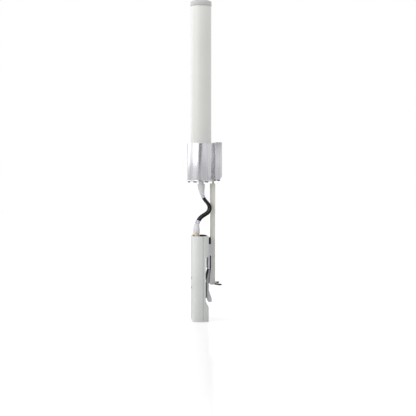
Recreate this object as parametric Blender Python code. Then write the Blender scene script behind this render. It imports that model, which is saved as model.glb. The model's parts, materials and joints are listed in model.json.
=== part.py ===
"""Omnidirectional antenna standing on its outdoor radio, joined by a pole-mount rail and two jumpers.

The frame: metres, +Z up, the radio's bottom face on z = 0 and the radome's axis on x = y = 0. The radio's
front faces -Y, and the pole that the antenna hangs on would stand on the +Y side.
"""

import math

import bmesh
import bpy
from mathutils import Vector

MM = 0.001
GAP = 0.3 * MM  # clearance between pieces that touch

# Radome and what is in it
RADOME_RADIUS = 19.5 * MM
RADOME_WALL = 2.0 * MM
RADOME_LOW = 270.0 * MM
RADOME_TOP = 596.0 * MM
CAP_RADIUS = 20.1 * MM
CAP_HEIGHT = 10.0 * MM
CAP_SKIRT_RADIUS = 17.2 * MM
CAP_PLUG_RADIUS = 12.0 * MM
BOARD_HALF_WIDTH = 6.5 * MM
BOARD_THICKNESS = 1.2 * MM
BOARD_LOW = 279.0 * MM
BOARD_TOP = 580.0 * MM
COPPER_THICKNESS = 0.4 * MM
LOOP_RADIUS = 15.0 * MM
LOOP_HEIGHTS = [350.0 * MM, 430.0 * MM, 510.0 * MM]
SPACER_LOW = 558.0 * MM
SPACER_THICKNESS = 10.0 * MM
DIPOLE_SECTIONS = 5
DIPOLE_HALF_WIDTH = 5.0 * MM
DIPOLE_LINK_HALF_WIDTH = 1.0 * MM
PLUG_TOP = 285.0 * MM

# Collar and the saddle that seats on the pole
COLLAR_RADIUS = 26.0 * MM
COLLAR_BORE = 19.8 * MM
COLLAR_TOP = 336.0 * MM
END_PLATE_LOW = 264.0 * MM
END_PLATE_THICKNESS = 2.4 * MM
COLLAR_SIDE_BACK = 17.5 * MM
COLLAR_BACK = 21.4 * MM
NECK_HALF_WIDTH = 16.0 * MM
EAR_HALF_WIDTH = 45.0 * MM
EAR_FRONT = 24.0 * MM
EAR_BACK = 36.0 * MM
EAR_CHAMFER = 0.6 * MM
SADDLE_LOW = 267.5 * MM
SADDLE_TOP = 337.5 * MM
SADDLE_FOOT_CHAMFER = (4.0 * MM, 6.0 * MM)
SEAT_HALF_WIDTH = 24.0 * MM
SEAT_FLAT_HALF_WIDTH = 6.0 * MM
SEAT_FLOOR = 29.0 * MM
SEAT_TEETH = 5
U_BOLT_HOLE_RADIUS = 4.25 * MM
U_BOLT_HOLE_X = 36.0 * MM
U_BOLT_HOLE_HEIGHTS = [284.0 * MM, 319.0 * MM]
PLATE_SCREW_RING = 22.9 * MM
PLATE_SCREW_ANGLES = [27, 153, 210, 270, 330]
PLATE_SCREW_HOLE = 1.5 * MM
SADDLE_SCREW_X = 12.5 * MM
SADDLE_SCREW_HEIGHT = 301.0 * MM
SADDLE_SCREW_SEAT = 27.0 * MM
SADDLE_FOOT_SCREW = (38.0 * MM, 30.0 * MM)
TONGUE_SCREW_HEIGHT = 281.0 * MM
CLEARANCE_HOLE = 1.9 * MM  # for the saddle's and the tongue's screws

# Rail behind the radio
RAIL_FRONT = 18.0 * MM
RAIL_STEP = 20.3 * MM
RAIL_BACK = 26.0 * MM
RAIL_HALF_WIDTH = 13.0 * MM
RAIL_FRONT_HALF_WIDTH = 10.5 * MM
RAIL_WALL = 1.8 * MM
RAIL_SLOT_HALF_WIDTH = 5.5 * MM
RAIL_LOW = 68.0 * MM
RAIL_TOP = 260.0 * MM
TONGUE_HALF_WIDTH = 8.0 * MM
TONGUE_FRONT = 21.8 * MM
TONGUE_BACK = 24.2 * MM
TONGUE_TOP = 293.0 * MM
FOOT_THICKNESS = 2.5 * MM
FOOT_HALF_WIDTH = 30.0 * MM
FOOT_BACK = 37.0 * MM
FOOT_TEETH = 4

# Clip on the radio's back, the slide block in it and the release latch
CLIP_LOW = 68.0 * MM
CLIP_TOP = 157.5 * MM
CLIP_PLATE_TOP = 145.2 * MM
CLIP_STRIP_FRONT = 11.4 * MM
CLIP_PLATE_BACK = 15.4 * MM
CLIP_HALF_WIDTH = 17.5 * MM
CLIP_SCREW_HOLE = 1.8 * MM
CLIP_SCREW_HEIGHTS = [127.0 * MM, 139.0 * MM]
CLIP_SCREW_SEAT = 17.2 * MM
SLIDER_HALF_WIDTH = 12.5 * MM
SLIDER_LOW = 99.0 * MM
SLIDER_TOP = 157.0 * MM
STRIP_HALF_WIDTH = 11.0 * MM
GUIDE_BACK = 9.6 * MM
LATCH_HALF_WIDTH = 10.0 * MM
LATCH_PIVOT = (0.0, 15.4 * MM, 96.8 * MM)

# Radio
RADIO_HALF_WIDTH = 40.0 * MM
RADIO_FRONT = -17.8 * MM
RADIO_BACK = 12.6 * MM
RADIO_CORNER = 13.0 * MM
RADIO_WALL = 2.0 * MM
RADIO_TOP = 161.0 * MM
RADIO_SPLIT = 1.0 * MM
RECESS_FLOOR = 6.0 * MM
RECESS_LOW = 26.5 * MM
RECESS_SLOPE_RUN = 6.6 * MM
RECESS_SLOPE_RISE = 12.5 * MM
RECESS_TOP = 121.5 * MM
PANEL_LOW = 153.5 * MM
PANEL_THICKNESS = 2.5 * MM
BOTTOM_THICKNESS = 3.0 * MM
LENS_HEIGHTS = [62.0 * MM, 80.0 * MM]
LENS_WIDTH = 4.0 * MM
LENS_LENGTH = 5.0 * MM
DOOR_LOW_X = 6.0 * MM
DOOR_HIGH_X = 28.0 * MM
DOOR_FRONT = -6.0 * MM
DOOR_TONGUE = 1.0 * MM
RESET_PLACE = (-14.0 * MM, -3.0 * MM)
CIRCUIT_BOARD_FRONT = -4.5 * MM
CIRCUIT_BOARD_BACK = -2.9 * MM

# Jumper leads
UPPER_JACK_X = 11.0 * MM
UPPER_JACK_Y = 0.3 * MM
LOWER_JACK_X = 20.0 * MM
LOWER_JACK_Y = -8.8 * MM
UPPER_JACK_END = 259.5 * MM
LOWER_JACK_END = 164.5 * MM
JACK_RADIUS = 3.1 * MM
JACK_HOLE_RADIUS = 3.4 * MM
NUT_BORE = 3.5 * MM
CABLE_RADIUS = 2.7 * MM
SLEEVE_RADIUS = 3.0 * MM
UPPER_BOOT_RADIUS = 6.0 * MM
UPPER_BOOT_TAPER = 2.8 * MM
LOWER_BOOT_RADIUS = 5.2 * MM
LOWER_BOOT_TAPER = 2.1 * MM
UPPER_BOOT_LENGTH = 20.5 * MM
LOWER_BOOT_LENGTH = 18.0 * MM
SLEEVE_LENGTH = 6.0 * MM
CABLE_ROWS = 44
BOOT_ROWS = 12
SLEEVE_ROWS = 6

PAST = 5.0 * MM  # how far a cutter runs beyond the piece it cuts

# Values that follow from those above
CLIP_FRONT = RADIO_BACK + GAP
WING_INNER = RAIL_HALF_WIDTH + 0.6 * MM
SLIDER_BACK = RAIL_FRONT - 0.6 * MM


# ---------------------------------------------------------------- scene and materials

for old in list(bpy.data.objects):
    bpy.data.objects.remove(old, do_unlink=True)


def make_material(name, colour, roughness, metallic=0.0):
    material = bpy.data.materials.new(name)
    material.use_nodes = True
    shader = material.node_tree.nodes["Principled BSDF"]
    shader.inputs["Base Color"].default_value = (*colour, 1.0)
    shader.inputs["Roughness"].default_value = roughness
    shader.inputs["Metallic"].default_value = metallic
    return material


FINISHES = {
    "radome": ((0.80, 0.81, 0.79), 0.45, 0.0),
    "cap": ((0.55, 0.55, 0.54), 0.5, 0.0),
    "brushed_aluminium": ((0.80, 0.81, 0.82), 0.35, 1.0),
    "dark_screw": ((0.10, 0.10, 0.11), 0.4, 0.8),
    "steel": ((0.62, 0.62, 0.63), 0.3, 1.0),
    "white_paint": ((0.78, 0.79, 0.80), 0.45, 0.0),
    "shell": ((0.82, 0.82, 0.82), 0.4, 0.0),
    "grey_plastic": ((0.62, 0.62, 0.68), 0.5, 0.0),
    "black_plastic": ((0.03, 0.03, 0.03), 0.5, 0.0),
    "black_rubber": ((0.02, 0.02, 0.02), 0.7, 0.0),
    "dark_rubber": ((0.08, 0.08, 0.09), 0.6, 0.0),
    "pale_plastic": ((0.62, 0.61, 0.64), 0.45, 0.0),
    "sleeve": ((0.72, 0.70, 0.78), 0.45, 0.0),
    "gold": ((0.83, 0.62, 0.24), 0.25, 1.0),
    "copper": ((0.80, 0.45, 0.30), 0.3, 1.0),
    "board": ((0.03, 0.22, 0.10), 0.5, 0.0),
    "foam": ((0.85, 0.85, 0.82), 0.9, 0.0),
    "lens": ((0.05, 0.06, 0.08), 0.15, 0.0),
}


def finish(name, kind):
    colour, roughness, metallic = FINISHES[kind]
    return make_material(name + "_" + kind, colour, roughness, metallic)


# ---------------------------------------------------------------- shapes


def add_prism(bm, outline, low, high, axis="Z"):
    """A closed prism along an axis; the outline's numbers are X and Y, Y and Z or X and Z, by that axis."""

    def place(first, second, along):
        if axis == "Z":
            return (first, second, along)
        if axis == "X":
            return (along, first, second)
        return (first, along, second)

    bottom = [bm.verts.new(place(a, b, low)) for a, b in outline]
    top = [bm.verts.new(place(a, b, high)) for a, b in outline]
    bm.faces.new(bottom)
    bm.faces.new(top)
    count = len(outline)
    for i in range(count):
        j = (i + 1) % count
        bm.faces.new((bottom[i], bottom[j], top[j], top[i]))


def add_box(bm, low, high):
    outline = [(low[0], low[1]), (high[0], low[1]), (high[0], high[1]), (low[0], high[1])]
    add_prism(bm, outline, low[2], high[2])


def circle(radius, count, centre=(0.0, 0.0), start=0.0):
    steps = [start + 2 * math.pi * k / count for k in range(count)]
    return [(centre[0] + radius * math.cos(a), centre[1] + radius * math.sin(a)) for a in steps]


def add_rod(bm, centre, radius, low, high, count=16, axis="Z"):
    """A round bar; the centre's two numbers are the ones that add_prism's outline takes."""
    add_prism(bm, circle(radius, count, centre, math.pi / count), low, high, axis)


def add_turned(bm, profile, count, ring=False, centre=(0.0, 0.0), axis="Z"):
    """A turned body from (radius, height) points: from axis to axis, or a closed loop when ring is set."""
    rows = []
    for radius, height in profile:
        if radius == 0.0:
            spots = [centre]
        else:
            spots = circle(radius, count, centre)
        if axis == "Z":
            rows.append([bm.verts.new((a, b, height)) for a, b in spots])
        else:
            rows.append([bm.verts.new((a, height, b)) for a, b in spots])
    pairs = list(zip(rows, rows[1:]))
    if ring:
        pairs.append((rows[-1], rows[0]))
    for first, second in pairs:
        for i in range(count):
            j = (i + 1) % count
            corners = [first[i % len(first)], first[j % len(first)]]
            corners += [second[j % len(second)], second[i % len(second)]]
            unique = list(dict.fromkeys(corners))
            if len(unique) > 2:
                bm.faces.new(unique)


def make_object(name, bm, kind, location=(0.0, 0.0, 0.0), smooth=True):
    """The piece, its mesh given in world places and moved so that its origin is at the location."""
    bmesh.ops.recalc_face_normals(bm, faces=bm.faces)
    bmesh.ops.translate(bm, verts=bm.verts, vec=-Vector(location))
    mesh = bpy.data.meshes.new(name)
    bm.to_mesh(mesh)
    bm.free()
    if smooth:
        mesh.shade_smooth()
        mesh.set_sharp_from_angle(angle=math.radians(35))
    mesh.materials.append(finish(name, kind))
    piece = bpy.data.objects.new(name, mesh)
    piece.location = location
    bpy.context.scene.collection.objects.link(piece)
    return piece


def combine(piece, bm, operation, label):
    """Cuts, joins or keeps the common part of the piece and a hidden helper shape."""
    bmesh.ops.recalc_face_normals(bm, faces=bm.faces)
    mesh = bpy.data.meshes.new(piece.name + "_" + label)
    bm.to_mesh(mesh)
    bm.free()
    helper = bpy.data.objects.new(piece.name + "_" + label, mesh)
    helper.hide_render = True
    helper.display_type = "WIRE"
    bpy.context.scene.collection.objects.link(helper)
    modifier = piece.modifiers.new(label, "BOOLEAN")
    modifier.operation = operation
    modifier.object = helper
    return helper


def rounded_rectangle(low, high, radius, steps):
    """The outline of a rectangle with round corners, each in the given number of steps."""
    corners = [
        (high[0] - radius, high[1] - radius, 0.0),
        (low[0] + radius, high[1] - radius, 0.5 * math.pi),
        (low[0] + radius, low[1] + radius, math.pi),
        (high[0] - radius, low[1] + radius, 1.5 * math.pi),
    ]
    points = []
    for x, y, start in corners:
        for k in range(steps + 1):
            angle = start + 0.5 * math.pi * k / steps
            points.append((x + radius * math.cos(angle), y + radius * math.sin(angle)))
    return points


def smooth_route(stops):
    """Closely spaced points on a smooth curve through a route's own points, with their distances along it."""
    stops = [Vector(stop) for stop in stops]
    before = 2 * stops[0] - stops[1]
    after = 2 * stops[-1] - stops[-2]
    padded = [before] + stops + [after]
    points = []
    for a, b, c, d in zip(padded, padded[1:], padded[2:], padded[3:]):
        for k in range(24):
            t = k / 24
            cubic = (3 * b - a - 3 * c + d) * t**3 + (2 * a - 5 * b + 4 * c - d) * t**2
            points.append(0.5 * (cubic + (c - a) * t) + b)
    points.append(stops[-1])
    distances = [0.0]
    for first, second in zip(points, points[1:]):
        distances.append(distances[-1] + (second - first).length)
    return points, distances


def stretch(route, start, end, count):
    """Evenly spaced points on part of a smooth route, between two distances along it."""
    points, distances = route
    places = []
    for k in range(count):
        goal = start + (end - start) * k / (count - 1)
        i = next((n for n, at in enumerate(distances) if n > 0 and at >= goal), len(points) - 1)
        share = (goal - distances[i - 1]) / (distances[i] - distances[i - 1])
        places.append(points[i - 1].lerp(points[i], share))
    return places


def make_hose(name, points, radii, kind, resolution=2):
    """A round bar along a route, with its own radius at each point."""
    curve = bpy.data.curves.new(name, "CURVE")
    curve.dimensions = "3D"
    curve.bevel_depth = 1.0
    curve.bevel_resolution = resolution
    curve.use_fill_caps = True
    spline = curve.splines.new("POLY")
    spline.points.add(len(points) - 1)
    for point, place, radius in zip(spline.points, points, radii):
        point.co = (*place, 1.0)
        point.radius = radius
    curve.materials.append(finish(name, kind))
    piece = bpy.data.objects.new(name, curve)
    bpy.context.scene.collection.objects.link(piece)
    return piece


def pan_head_profile(head_radius, head_height, shank_radius, shank_length, seat, towards):
    """Half outline of a pan-head screw from its head's crown to its tip; towards is the shank's direction."""
    crown = seat - towards * head_height
    return [
        (0.0, crown),
        (0.62 * head_radius, crown),
        (head_radius, seat - towards * 0.45 * head_height),
        (head_radius, seat),
        (shank_radius, seat),
        (shank_radius, seat + towards * shank_length),
        (0.0, seat + towards * shank_length),
    ]


# ---------------------------------------------------------------- radome and what it holds


def make_radome():
    tube = bmesh.new()
    inner = RADOME_RADIUS - RADOME_WALL
    wall = [
        (RADOME_RADIUS, RADOME_TOP),
        (RADOME_RADIUS, RADOME_LOW),
        (inner, RADOME_LOW),
        (inner, RADOME_TOP),
    ]
    add_turned(tube, wall, 64, ring=True)
    make_object("radome_tube", tube, "radome")


def make_top_cap():
    low = RADOME_TOP + GAP
    top = RADOME_TOP + CAP_HEIGHT
    skirt_low = RADOME_TOP - 10 * MM
    groove = CAP_SKIRT_RADIUS - 1.5 * MM
    stem = 6.0 * MM
    shoulder = 3.0 * MM
    profile = [(stem, top)]
    for k in range(5):
        angle = 0.5 * math.pi * k / 4
        reach = CAP_RADIUS - shoulder + shoulder * math.sin(angle)
        profile.append((reach, top - shoulder + shoulder * math.cos(angle)))
    profile += [
        (CAP_RADIUS, low),
        (CAP_SKIRT_RADIUS, low),
        (CAP_SKIRT_RADIUS, low - 3 * MM),
        (groove, low - 3 * MM),
        (groove, low - 5.5 * MM),
        (CAP_SKIRT_RADIUS, low - 5.5 * MM),
        (CAP_SKIRT_RADIUS, skirt_low),
        (14.5 * MM, skirt_low),
        (14.5 * MM, top - 3.5 * MM),
        (stem, top - 3.5 * MM),
    ]
    cap = bmesh.new()
    add_turned(cap, profile, 48, ring=True)
    make_object("top_cap", cap, "cap")

    plug = bmesh.new()
    stem_radius = stem - GAP
    plug_profile = [
        (0.0, top + 5 * MM),
        (CAP_PLUG_RADIUS - 1 * MM, top + 5 * MM),
        (CAP_PLUG_RADIUS, top + 4 * MM),
        (CAP_PLUG_RADIUS, top + GAP),
        (stem_radius, top + GAP),
        (stem_radius, top - 6 * MM),
        (0.0, top - 6 * MM),
    ]
    add_turned(plug, plug_profile, 32)
    make_object("cap_plug", plug, "cap")

    seal = bmesh.new()
    middle = 0.5 * (groove + CAP_SKIRT_RADIUS) + 0.15 * MM
    section = circle(0.55 * MM, 6, (middle, low - 4.25 * MM))
    add_turned(seal, section, 32, ring=True)
    make_object("cap_seal", seal, "black_rubber")


def make_antenna_elements():
    """The printed board with its stack of vertical dipoles, and the round loop boards on it."""
    half = 0.5 * BOARD_THICKNESS
    board = bmesh.new()
    add_box(board, (-BOARD_HALF_WIDTH, -half, BOARD_LOW), (BOARD_HALF_WIDTH, half, BOARD_TOP))
    make_object("antenna_board", board, "board")

    low = BOARD_LOW + 22 * MM
    pitch = (BOARD_TOP - 8 * MM - low) / DIPOLE_SECTIONS
    right = []
    for k in range(DIPOLE_SECTIONS):
        start = low + k * pitch
        wide_from, wide_to = start + 0.3 * pitch, start + 0.9 * pitch
        right += [(DIPOLE_LINK_HALF_WIDTH, start), (DIPOLE_LINK_HALF_WIDTH, wide_from)]
        right += [(DIPOLE_HALF_WIDTH, wide_from), (DIPOLE_HALF_WIDTH, wide_to)]
        right += [(DIPOLE_LINK_HALF_WIDTH, wide_to)]
    outline = right + [(-x, z) for x, z in reversed(right)]
    copper = bmesh.new()
    add_prism(copper, outline, -half - GAP - COPPER_THICKNESS, -half - GAP, axis="Y")
    make_object("vertical_radiator", copper, "copper")

    for number, height in enumerate(LOOP_HEIGHTS, start=1):
        loop = bmesh.new()
        add_rod(loop, (0.0, 0.0), LOOP_RADIUS, height, height + 1.6 * MM, 32)
        disc = make_object(f"loop_board_{number}", loop, "board")
        cut_board_slot(disc, height)

    foam = bmesh.new()
    reach = RADOME_RADIUS - RADOME_WALL - GAP
    add_rod(foam, (0.0, 0.0), reach, SPACER_LOW, SPACER_LOW + SPACER_THICKNESS, 32)
    cut_board_slot(make_object("board_spacer", foam, "foam"), SPACER_LOW)


def cut_board_slot(piece, height):
    """Lets the antenna board and its copper pass through a disc whose lower face is at the height."""
    slot = bmesh.new()
    half = 0.5 * BOARD_THICKNESS
    front = half + GAP + COPPER_THICKNESS + GAP
    reach = BOARD_HALF_WIDTH + GAP
    add_box(slot, (-reach, -front, height - PAST), (reach, half + GAP, height + 4 * PAST))
    combine(piece, slot, "DIFFERENCE", "slot")


def make_base_plug():
    flange_low = END_PLATE_LOW + END_PLATE_THICKNESS + GAP
    flange_radius = COLLAR_BORE - 0.4 * MM
    profile = [
        (0.0, PLUG_TOP),
        (CAP_SKIRT_RADIUS, PLUG_TOP),
        (CAP_SKIRT_RADIUS, RADOME_LOW - GAP),
        (flange_radius, RADOME_LOW - GAP),
        (flange_radius, flange_low),
        (0.0, flange_low),
    ]
    bm = bmesh.new()
    add_turned(bm, profile, 48)
    plug = make_object("base_plug", bm, "black_plastic")
    holes = bmesh.new()
    for side in (-1, 1):
        centre = (side * UPPER_JACK_X, UPPER_JACK_Y)
        add_rod(holes, centre, JACK_HOLE_RADIUS, flange_low - PAST, PLUG_TOP + PAST)
    reach = BOARD_HALF_WIDTH + GAP
    half = 0.5 * BOARD_THICKNESS + GAP
    add_box(holes, (-reach, -half, BOARD_LOW - GAP), (reach, half, PLUG_TOP + PAST))
    combine(plug, holes, "DIFFERENCE", "holes")


def make_antenna_jacks():
    """The two threaded jacks through the base plug, their back nuts, and the thin leads to the board."""
    for number, side in ((1, 1), (2, -1)):
        centre = (side * UPPER_JACK_X, UPPER_JACK_Y)
        seat = PLUG_TOP + GAP
        pin_end = PLUG_TOP + 7 * MM
        jack = bmesh.new()
        profile = [
            (0.0, pin_end),
            (1.5 * MM, pin_end),
            (1.5 * MM, seat + 2 * MM),
            (3.9 * MM, seat + 2 * MM),
            (3.9 * MM, seat),
            (JACK_RADIUS, seat),
            (JACK_RADIUS, UPPER_JACK_END),
            (0.0, UPPER_JACK_END),
        ]
        add_turned(jack, profile, 16, centre=centre)
        make_object(f"antenna_jack_{number}", jack, "gold")

        stops = [
            (*centre, pin_end + GAP),
            (side * 10.5 * MM, 2.2 * MM, 300 * MM),
            (side * 6.0 * MM, 3.4 * MM, 312 * MM),
            (side * 3.5 * MM, 2.6 * MM, 324 * MM),
            (side * 3.3 * MM, 2.3 * MM, 334 * MM),
        ]
        route = smooth_route(stops)
        lead = stretch(route, 0.0, route[1][-1], 14)
        make_hose(f"feed_lead_{number}", lead, [1.2 * MM] * len(lead), "steel")


# ---------------------------------------------------------------- collar and saddle


def make_collar():
    low = END_PLATE_LOW + END_PLATE_THICKNESS + GAP
    bm = bmesh.new()
    add_prism(bm, collar_outline(), low, COLLAR_TOP)
    collar = make_object("collar_extrusion", bm, "brushed_aluminium")
    holes = bmesh.new()
    add_rod(holes, (0.0, 0.0), COLLAR_BORE, low - PAST, COLLAR_TOP + PAST, 64)
    for place in plate_screw_places():
        add_rod(holes, place, PLATE_SCREW_HOLE, low - PAST, low + 9 * MM, 8)
    for side in (-1, 1):
        place = (side * SADDLE_SCREW_X, SADDLE_SCREW_HEIGHT)
        add_rod(holes, place, CLEARANCE_HOLE, 17 * MM, COLLAR_BACK + PAST, 12, axis="Y")
    combine(collar, holes, "DIFFERENCE", "holes")


def collar_outline():
    """Round front, flat sides and a narrower neck at the back."""
    start = math.asin(6.0 * MM / COLLAR_RADIUS)
    steps = 40
    side = COLLAR_RADIUS * math.cos(start)
    points = []
    for k in range(steps + 1):
        angle = start - (math.pi + 2 * start) * k / steps
        points.append((COLLAR_RADIUS * math.cos(angle), COLLAR_RADIUS * math.sin(angle)))
    corners = [
        (side, COLLAR_SIDE_BACK),
        (NECK_HALF_WIDTH, COLLAR_SIDE_BACK),
        (NECK_HALF_WIDTH, COLLAR_BACK),
    ]
    return points + [(-x, y) for x, y in corners] + corners[::-1]


def plate_screw_places():
    angles = [math.radians(degrees) for degrees in PLATE_SCREW_ANGLES]
    return [(PLATE_SCREW_RING * math.cos(a), PLATE_SCREW_RING * math.sin(a)) for a in angles]


def make_end_plate():
    bm = bmesh.new()
    top = END_PLATE_LOW + END_PLATE_THICKNESS
    add_prism(bm, collar_outline(), END_PLATE_LOW, top)
    plate = make_object("collar_end_plate", bm, "brushed_aluminium")
    holes = bmesh.new()
    for side in (-1, 1):
        centre = (side * UPPER_JACK_X, UPPER_JACK_Y)
        add_rod(holes, centre, JACK_HOLE_RADIUS, END_PLATE_LOW - PAST, top + PAST)
    for place in plate_screw_places():
        add_rod(holes, place, PLATE_SCREW_HOLE, END_PLATE_LOW - PAST, top + PAST, 8)
    combine(plate, holes, "DIFFERENCE", "holes")
    for number, place in enumerate(plate_screw_places(), start=1):
        screw = bmesh.new()
        profile = pan_head_profile(2.3 * MM, 1.7 * MM, 1.1 * MM, 8 * MM, END_PLATE_LOW - GAP, 1)
        add_turned(screw, profile, 12, centre=place)
        make_object(f"end_plate_screw_{number}", screw, "dark_screw")


def seat_outline():
    """The saddle seen from above: neck, ears, and the toothed V that takes the pole."""
    slot = TONGUE_HALF_WIDTH + GAP
    front = COLLAR_BACK + GAP
    right = [
        (slot, TONGUE_BACK + GAP),
        (slot, front),
        (NECK_HALF_WIDTH, front),
        (NECK_HALF_WIDTH, EAR_FRONT),
        (EAR_HALF_WIDTH - EAR_CHAMFER, EAR_FRONT),
        (EAR_HALF_WIDTH, EAR_FRONT + EAR_CHAMFER),
        (EAR_HALF_WIDTH, EAR_BACK),
        (SEAT_HALF_WIDTH, EAR_BACK),
    ]
    run = (SEAT_HALF_WIDTH - SEAT_FLAT_HALF_WIDTH) / SEAT_TEETH
    rise = (EAR_BACK - SEAT_FLOOR) / SEAT_TEETH
    for k in range(SEAT_TEETH):
        x = SEAT_HALF_WIDTH - k * run
        y = EAR_BACK - k * rise
        right += [(x - 0.35 * run, y - rise), (x - run, y - rise)]
    return right + [(-x, y) for x, y in reversed(right)]


def make_saddle():
    low = SADDLE_LOW
    bm = bmesh.new()
    add_prism(bm, seat_outline(), low, SADDLE_TOP)
    saddle = make_object("pole_saddle", bm, "brushed_aluminium")
    holes = bmesh.new()
    for side in (-1, 1):
        for height in U_BOLT_HOLE_HEIGHTS:
            place = (side * U_BOLT_HOLE_X, height)
            add_rod(holes, place, U_BOLT_HOLE_RADIUS, EAR_FRONT - PAST, EAR_BACK + PAST, axis="Y")
        place = (side * SADDLE_FOOT_SCREW[0], SADDLE_FOOT_SCREW[1])
        add_rod(holes, place, CLEARANCE_HOLE, low - PAST, low + 9 * MM, 12)
        place = (side * SADDLE_SCREW_X, SADDLE_SCREW_HEIGHT)
        add_turned(holes, saddle_screw_hole(), 12, centre=place, axis="Y")
    add_turned(holes, saddle_screw_hole(), 12, centre=(0.0, TONGUE_SCREW_HEIGHT), axis="Y")
    combine(saddle, holes, "DIFFERENCE", "holes")
    depth, rise = SADDLE_FOOT_CHAMFER
    corner = [(EAR_BACK - depth, low), (EAR_BACK - depth, low - PAST), (EAR_BACK + PAST, low - PAST)]
    corner += [(EAR_BACK + PAST, low + rise * (1 + PAST / depth))]
    chamfer = bmesh.new()
    add_prism(chamfer, corner, -EAR_HALF_WIDTH - PAST, EAR_HALF_WIDTH + PAST, axis="X")
    combine(saddle, chamfer, "DIFFERENCE", "foot_chamfer")

    for number, side in ((1, 1), (2, -1)):
        bottom_screw = bmesh.new()
        profile = pan_head_profile(3.0 * MM, 2.2 * MM, 1.5 * MM, 8 * MM, low - GAP, 1)
        place = (side * SADDLE_FOOT_SCREW[0], SADDLE_FOOT_SCREW[1])
        add_turned(bottom_screw, profile, 12, centre=place)
        make_object(f"saddle_foot_screw_{number}", bottom_screw, "dark_screw")

        screw = bmesh.new()
        profile = pan_head_profile(3.3 * MM, 1.8 * MM, 1.5 * MM, 9 * MM, SADDLE_SCREW_SEAT, -1)
        place = (side * SADDLE_SCREW_X, SADDLE_SCREW_HEIGHT)
        add_turned(screw, profile, 12, centre=place, axis="Y")
        make_object(f"saddle_screw_{number}", screw, "dark_screw")

    lock = bmesh.new()
    profile = pan_head_profile(3.3 * MM, 1.8 * MM, 1.5 * MM, 5 * MM, SADDLE_SCREW_SEAT, -1)
    add_turned(lock, profile, 12, centre=(0.0, TONGUE_SCREW_HEIGHT), axis="Y")
    make_object("tongue_screw", lock, "dark_screw")


def saddle_screw_hole():
    """Shank hole and head recess of a screw that goes in from the pole side."""
    head_floor = SADDLE_SCREW_SEAT - GAP
    head_hole = 3.7 * MM
    return [
        (0.0, EAR_BACK + PAST),
        (head_hole, EAR_BACK + PAST),
        (head_hole, head_floor),
        (CLEARANCE_HOLE, head_floor),
        (CLEARANCE_HOLE, 18 * MM),
        (0.0, 18 * MM),
    ]


# ---------------------------------------------------------------- rail, clip, slide block and latch


def rail_outline():
    """The rail seen from above: a stepped channel whose slot faces the radio."""
    inner_front = RAIL_FRONT_HALF_WIDTH - RAIL_WALL
    inner_back = RAIL_HALF_WIDTH - RAIL_WALL
    right = [
        (RAIL_SLOT_HALF_WIDTH, RAIL_FRONT + RAIL_WALL),
        (RAIL_SLOT_HALF_WIDTH, RAIL_FRONT),
        (RAIL_FRONT_HALF_WIDTH, RAIL_FRONT),
        (RAIL_FRONT_HALF_WIDTH, RAIL_STEP),
        (RAIL_HALF_WIDTH, RAIL_STEP),
        (RAIL_HALF_WIDTH, RAIL_BACK),
    ]
    left_outside = [(-x, y) for x, y in reversed(right)]
    inside = [
        (-inner_front, RAIL_FRONT + RAIL_WALL),
        (-inner_front, RAIL_STEP + RAIL_WALL),
        (-inner_back, RAIL_STEP + RAIL_WALL),
        (-inner_back, RAIL_BACK - RAIL_WALL),
    ]
    right_inside = [(-x, y) for x, y in reversed(inside)]
    return right + left_outside + inside + right_inside


def foot_outline():
    """The foot seen from above: a fork whose notch takes the pole, toothed on both flanks."""
    notch_floor = RAIL_BACK + 4 * MM
    tip = FOOT_HALF_WIDTH - 6 * MM
    right = [
        (RAIL_HALF_WIDTH, RAIL_BACK - 1.5 * MM),
        (FOOT_HALF_WIDTH, FOOT_BACK - 6 * MM),
        (FOOT_HALF_WIDTH - 2 * MM, FOOT_BACK),
        (tip, FOOT_BACK),
    ]
    run = (tip - 8 * MM) / FOOT_TEETH
    rise = (FOOT_BACK - notch_floor) / FOOT_TEETH
    for k in range(FOOT_TEETH):
        x = tip - k * run
        y = FOOT_BACK - k * rise
        right += [(x - 0.4 * run, y - rise), (x - run, y - rise)]
    return right + [(-x, y) for x, y in reversed(right)]


def make_rail():
    bm = bmesh.new()
    add_prism(bm, rail_outline(), RAIL_LOW, RAIL_TOP)
    rail = make_object("mount_rail", bm, "white_paint", smooth=False)
    end = bmesh.new()
    low = (-RAIL_HALF_WIDTH, RAIL_STEP, RAIL_TOP - 4 * MM)
    add_box(end, low, (RAIL_HALF_WIDTH, RAIL_BACK, RAIL_TOP))
    combine(rail, end, "UNION", "end")
    tongue = bmesh.new()
    add_box(
        tongue,
        (-TONGUE_HALF_WIDTH, TONGUE_FRONT, RAIL_TOP - 2 * MM),
        (TONGUE_HALF_WIDTH, TONGUE_BACK, TONGUE_TOP),
    )
    combine(rail, tongue, "UNION", "tongue")
    foot = bmesh.new()
    add_prism(foot, foot_outline(), RAIL_LOW, RAIL_LOW + FOOT_THICKNESS)
    combine(rail, foot, "UNION", "foot")
    hole = bmesh.new()
    centre = (0.0, TONGUE_SCREW_HEIGHT)
    add_rod(hole, centre, CLEARANCE_HOLE, TONGUE_FRONT - PAST, TONGUE_BACK + PAST, 12, axis="Y")
    combine(rail, hole, "DIFFERENCE", "tongue_hole")


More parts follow.
